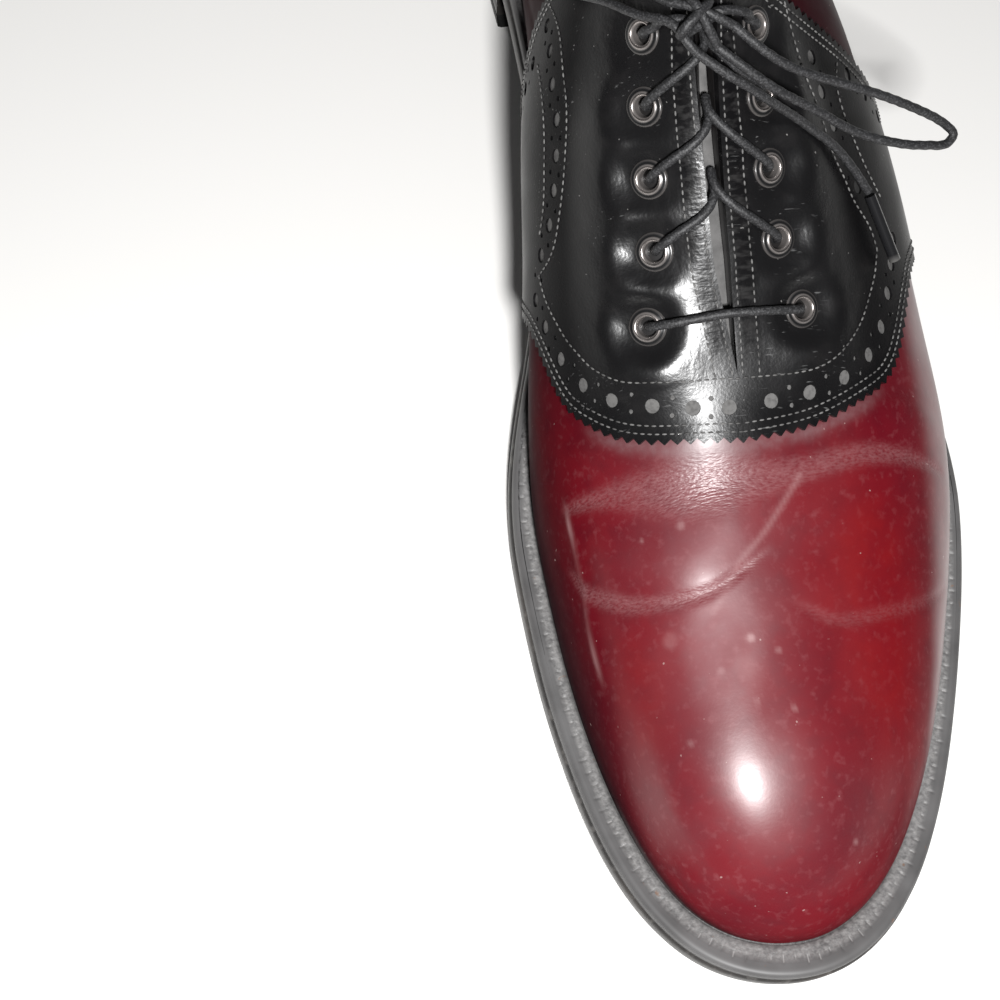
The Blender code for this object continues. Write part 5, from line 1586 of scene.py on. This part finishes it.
# The strands that pass through the knot, and the turn of cord that holds them
through_knot = [
    [MEDIAL_LOOP[0], (-11.0, 129.2, 114.6), (-7.0, 131.4, 114.2), LATERAL_LOOP[0]],
    [MEDIAL_END[0], (-10.6, 130.0, 116.0), (-8.6, 133.2, 113.6), LATERAL_LOOP[-1]],
    [MEDIAL_LOOP[-1], (-14.6, 131.4, 112.2), (-12.6, 134.2, 111.0), LATERAL_END[0]],
]
KNOT_CENTRE = np.array([-10.5, 131.5, 113.2])
KNOT_BACK = 1.4
BUNDLE_WAY = np.array([0.55, 0.80, -0.25])
TURN_HALF_WIDTH = 4.3
TURN_HALF_HEIGHT = 2.6
TURN_CLIMB = 0.45
TURN_OVERLAP = 0.3
bundle = BUNDLE_WAY / np.linalg.norm(BUNDLE_WAY)
level = np.cross(bundle, [0.0, 0.0, 1.0])
level /= np.linalg.norm(level)
turn = np.linspace(-TURN_OVERLAP, 2 * np.pi + TURN_OVERLAP, 25)[:, None]
hoop = np.cos(turn) * level * TURN_HALF_WIDTH + np.sin(turn) * np.cross(level, bundle) * TURN_HALF_HEIGHT
hoop += turn * bundle * TURN_CLIMB
add_cord("lace_bow_knot", through_knot + [KNOT_CENTRE - bundle * KNOT_BACK + hoop], ("lace_knot",))

AGLET_RADIUS = 1.2
AGLET_SPACING = 0.8
FILM_BLACK = (0.012, 0.012, 0.013)
FILM_WORN = (0.16, 0.155, 0.15)
film = Finish("aglet_film", FILM_BLACK, 0.2)
film.tint(film.painted("tip", 0.90, 1.0, 0.0, 0.6), FILM_WORN)
for side, loop, end, aglet_route in (
    ("lateral", LATERAL_LOOP, LATERAL_END, LATERAL_AGLET),
    ("medial", MEDIAL_LOOP, MEDIAL_END, MEDIAL_AGLET),
):
    obj, centre = add_cord(f"bow_loop_{side}", [loop], (f"lace_loop_{side}",))
    ring_points, ring_faces, line = tube(np.array(aglet_route), AGLET_RADIUS, AGLET_SPACING, twist=0.0)
    tip = np.repeat(np.linspace(0, 1, len(line)), LACE_SIDES)
    aglet = add_piece(
        f"lace_tip_{side}",
        ring_points,
        ring_faces,
        film.material,
        (f"aglet_{side}",),
        attributes={"tip": tip},
        sharp=40,
    )
    obj, centre = add_cord(f"bow_end_{side}", [end], (f"lace_end_{side}",))

# The setting: a white board under the shoe, lit by a small flash beside the lens in a dim room.
# The board is no piece of the shoe.

BOARD_HALF = 2.0
BOARD_DROP = -0.0002
BOARD_WHITE = (0.88, 0.87, 0.85)
floor_mesh = bpy.data.meshes.new("floor")
square = [(-1, -1), (1, -1), (1, 1), (-1, 1)]
board_corners = [(x * BOARD_HALF, y * BOARD_HALF, BOARD_DROP) for x, y in square]
floor_mesh.from_pydata(board_corners, [], [(0, 1, 2, 3)])
floor = bpy.data.objects.new("floor", floor_mesh)
bpy.context.scene.collection.objects.link(floor)
board = Finish("white_board", BOARD_WHITE, 0.6)
floor_mesh.materials.append(board.material)

ROOM_COLOUR = (0.98, 0.98, 1.0, 1.0)
ROOM_STRENGTH = 0.08
world = bpy.data.worlds.new("room")
world.use_nodes = True
world.node_tree.nodes["Background"].inputs["Color"].default_value = ROOM_COLOUR
world.node_tree.nodes["Background"].inputs["Strength"].default_value = ROOM_STRENGTH
bpy.context.scene.world = world

FLASH_PLACE = (-66.0, 427.0, 478.0)
FLASH_POWER = 17.0
FLASH_RADIUS = 0.029
flash_light = bpy.data.lights.new("flash", "POINT")
flash_light.energy = FLASH_POWER
flash_light.shadow_soft_size = FLASH_RADIUS
flash = bpy.data.objects.new("flash", flash_light)
flash.location = to_frame(FLASH_PLACE)
bpy.context.scene.collection.objects.link(flash)

CAMERA_PLACE = (-98.06, 322.95, 442.24)
CAMERA_TURN = (0.3118, -0.0649, -0.1468)
CAMERA_LENS = 72.0
CAMERA_SENSOR = 36.0
camera_data = bpy.data.cameras.new("camera")
camera_data.lens = CAMERA_LENS
camera_data.sensor_width = CAMERA_SENSOR
camera = bpy.data.objects.new("camera", camera_data)
camera.location = to_frame(CAMERA_PLACE)
camera.rotation_euler = CAMERA_TURN
bpy.context.scene.collection.objects.link(camera)
bpy.context.scene.camera = camera
bpy.context.scene.view_settings.view_transform = "Standard"
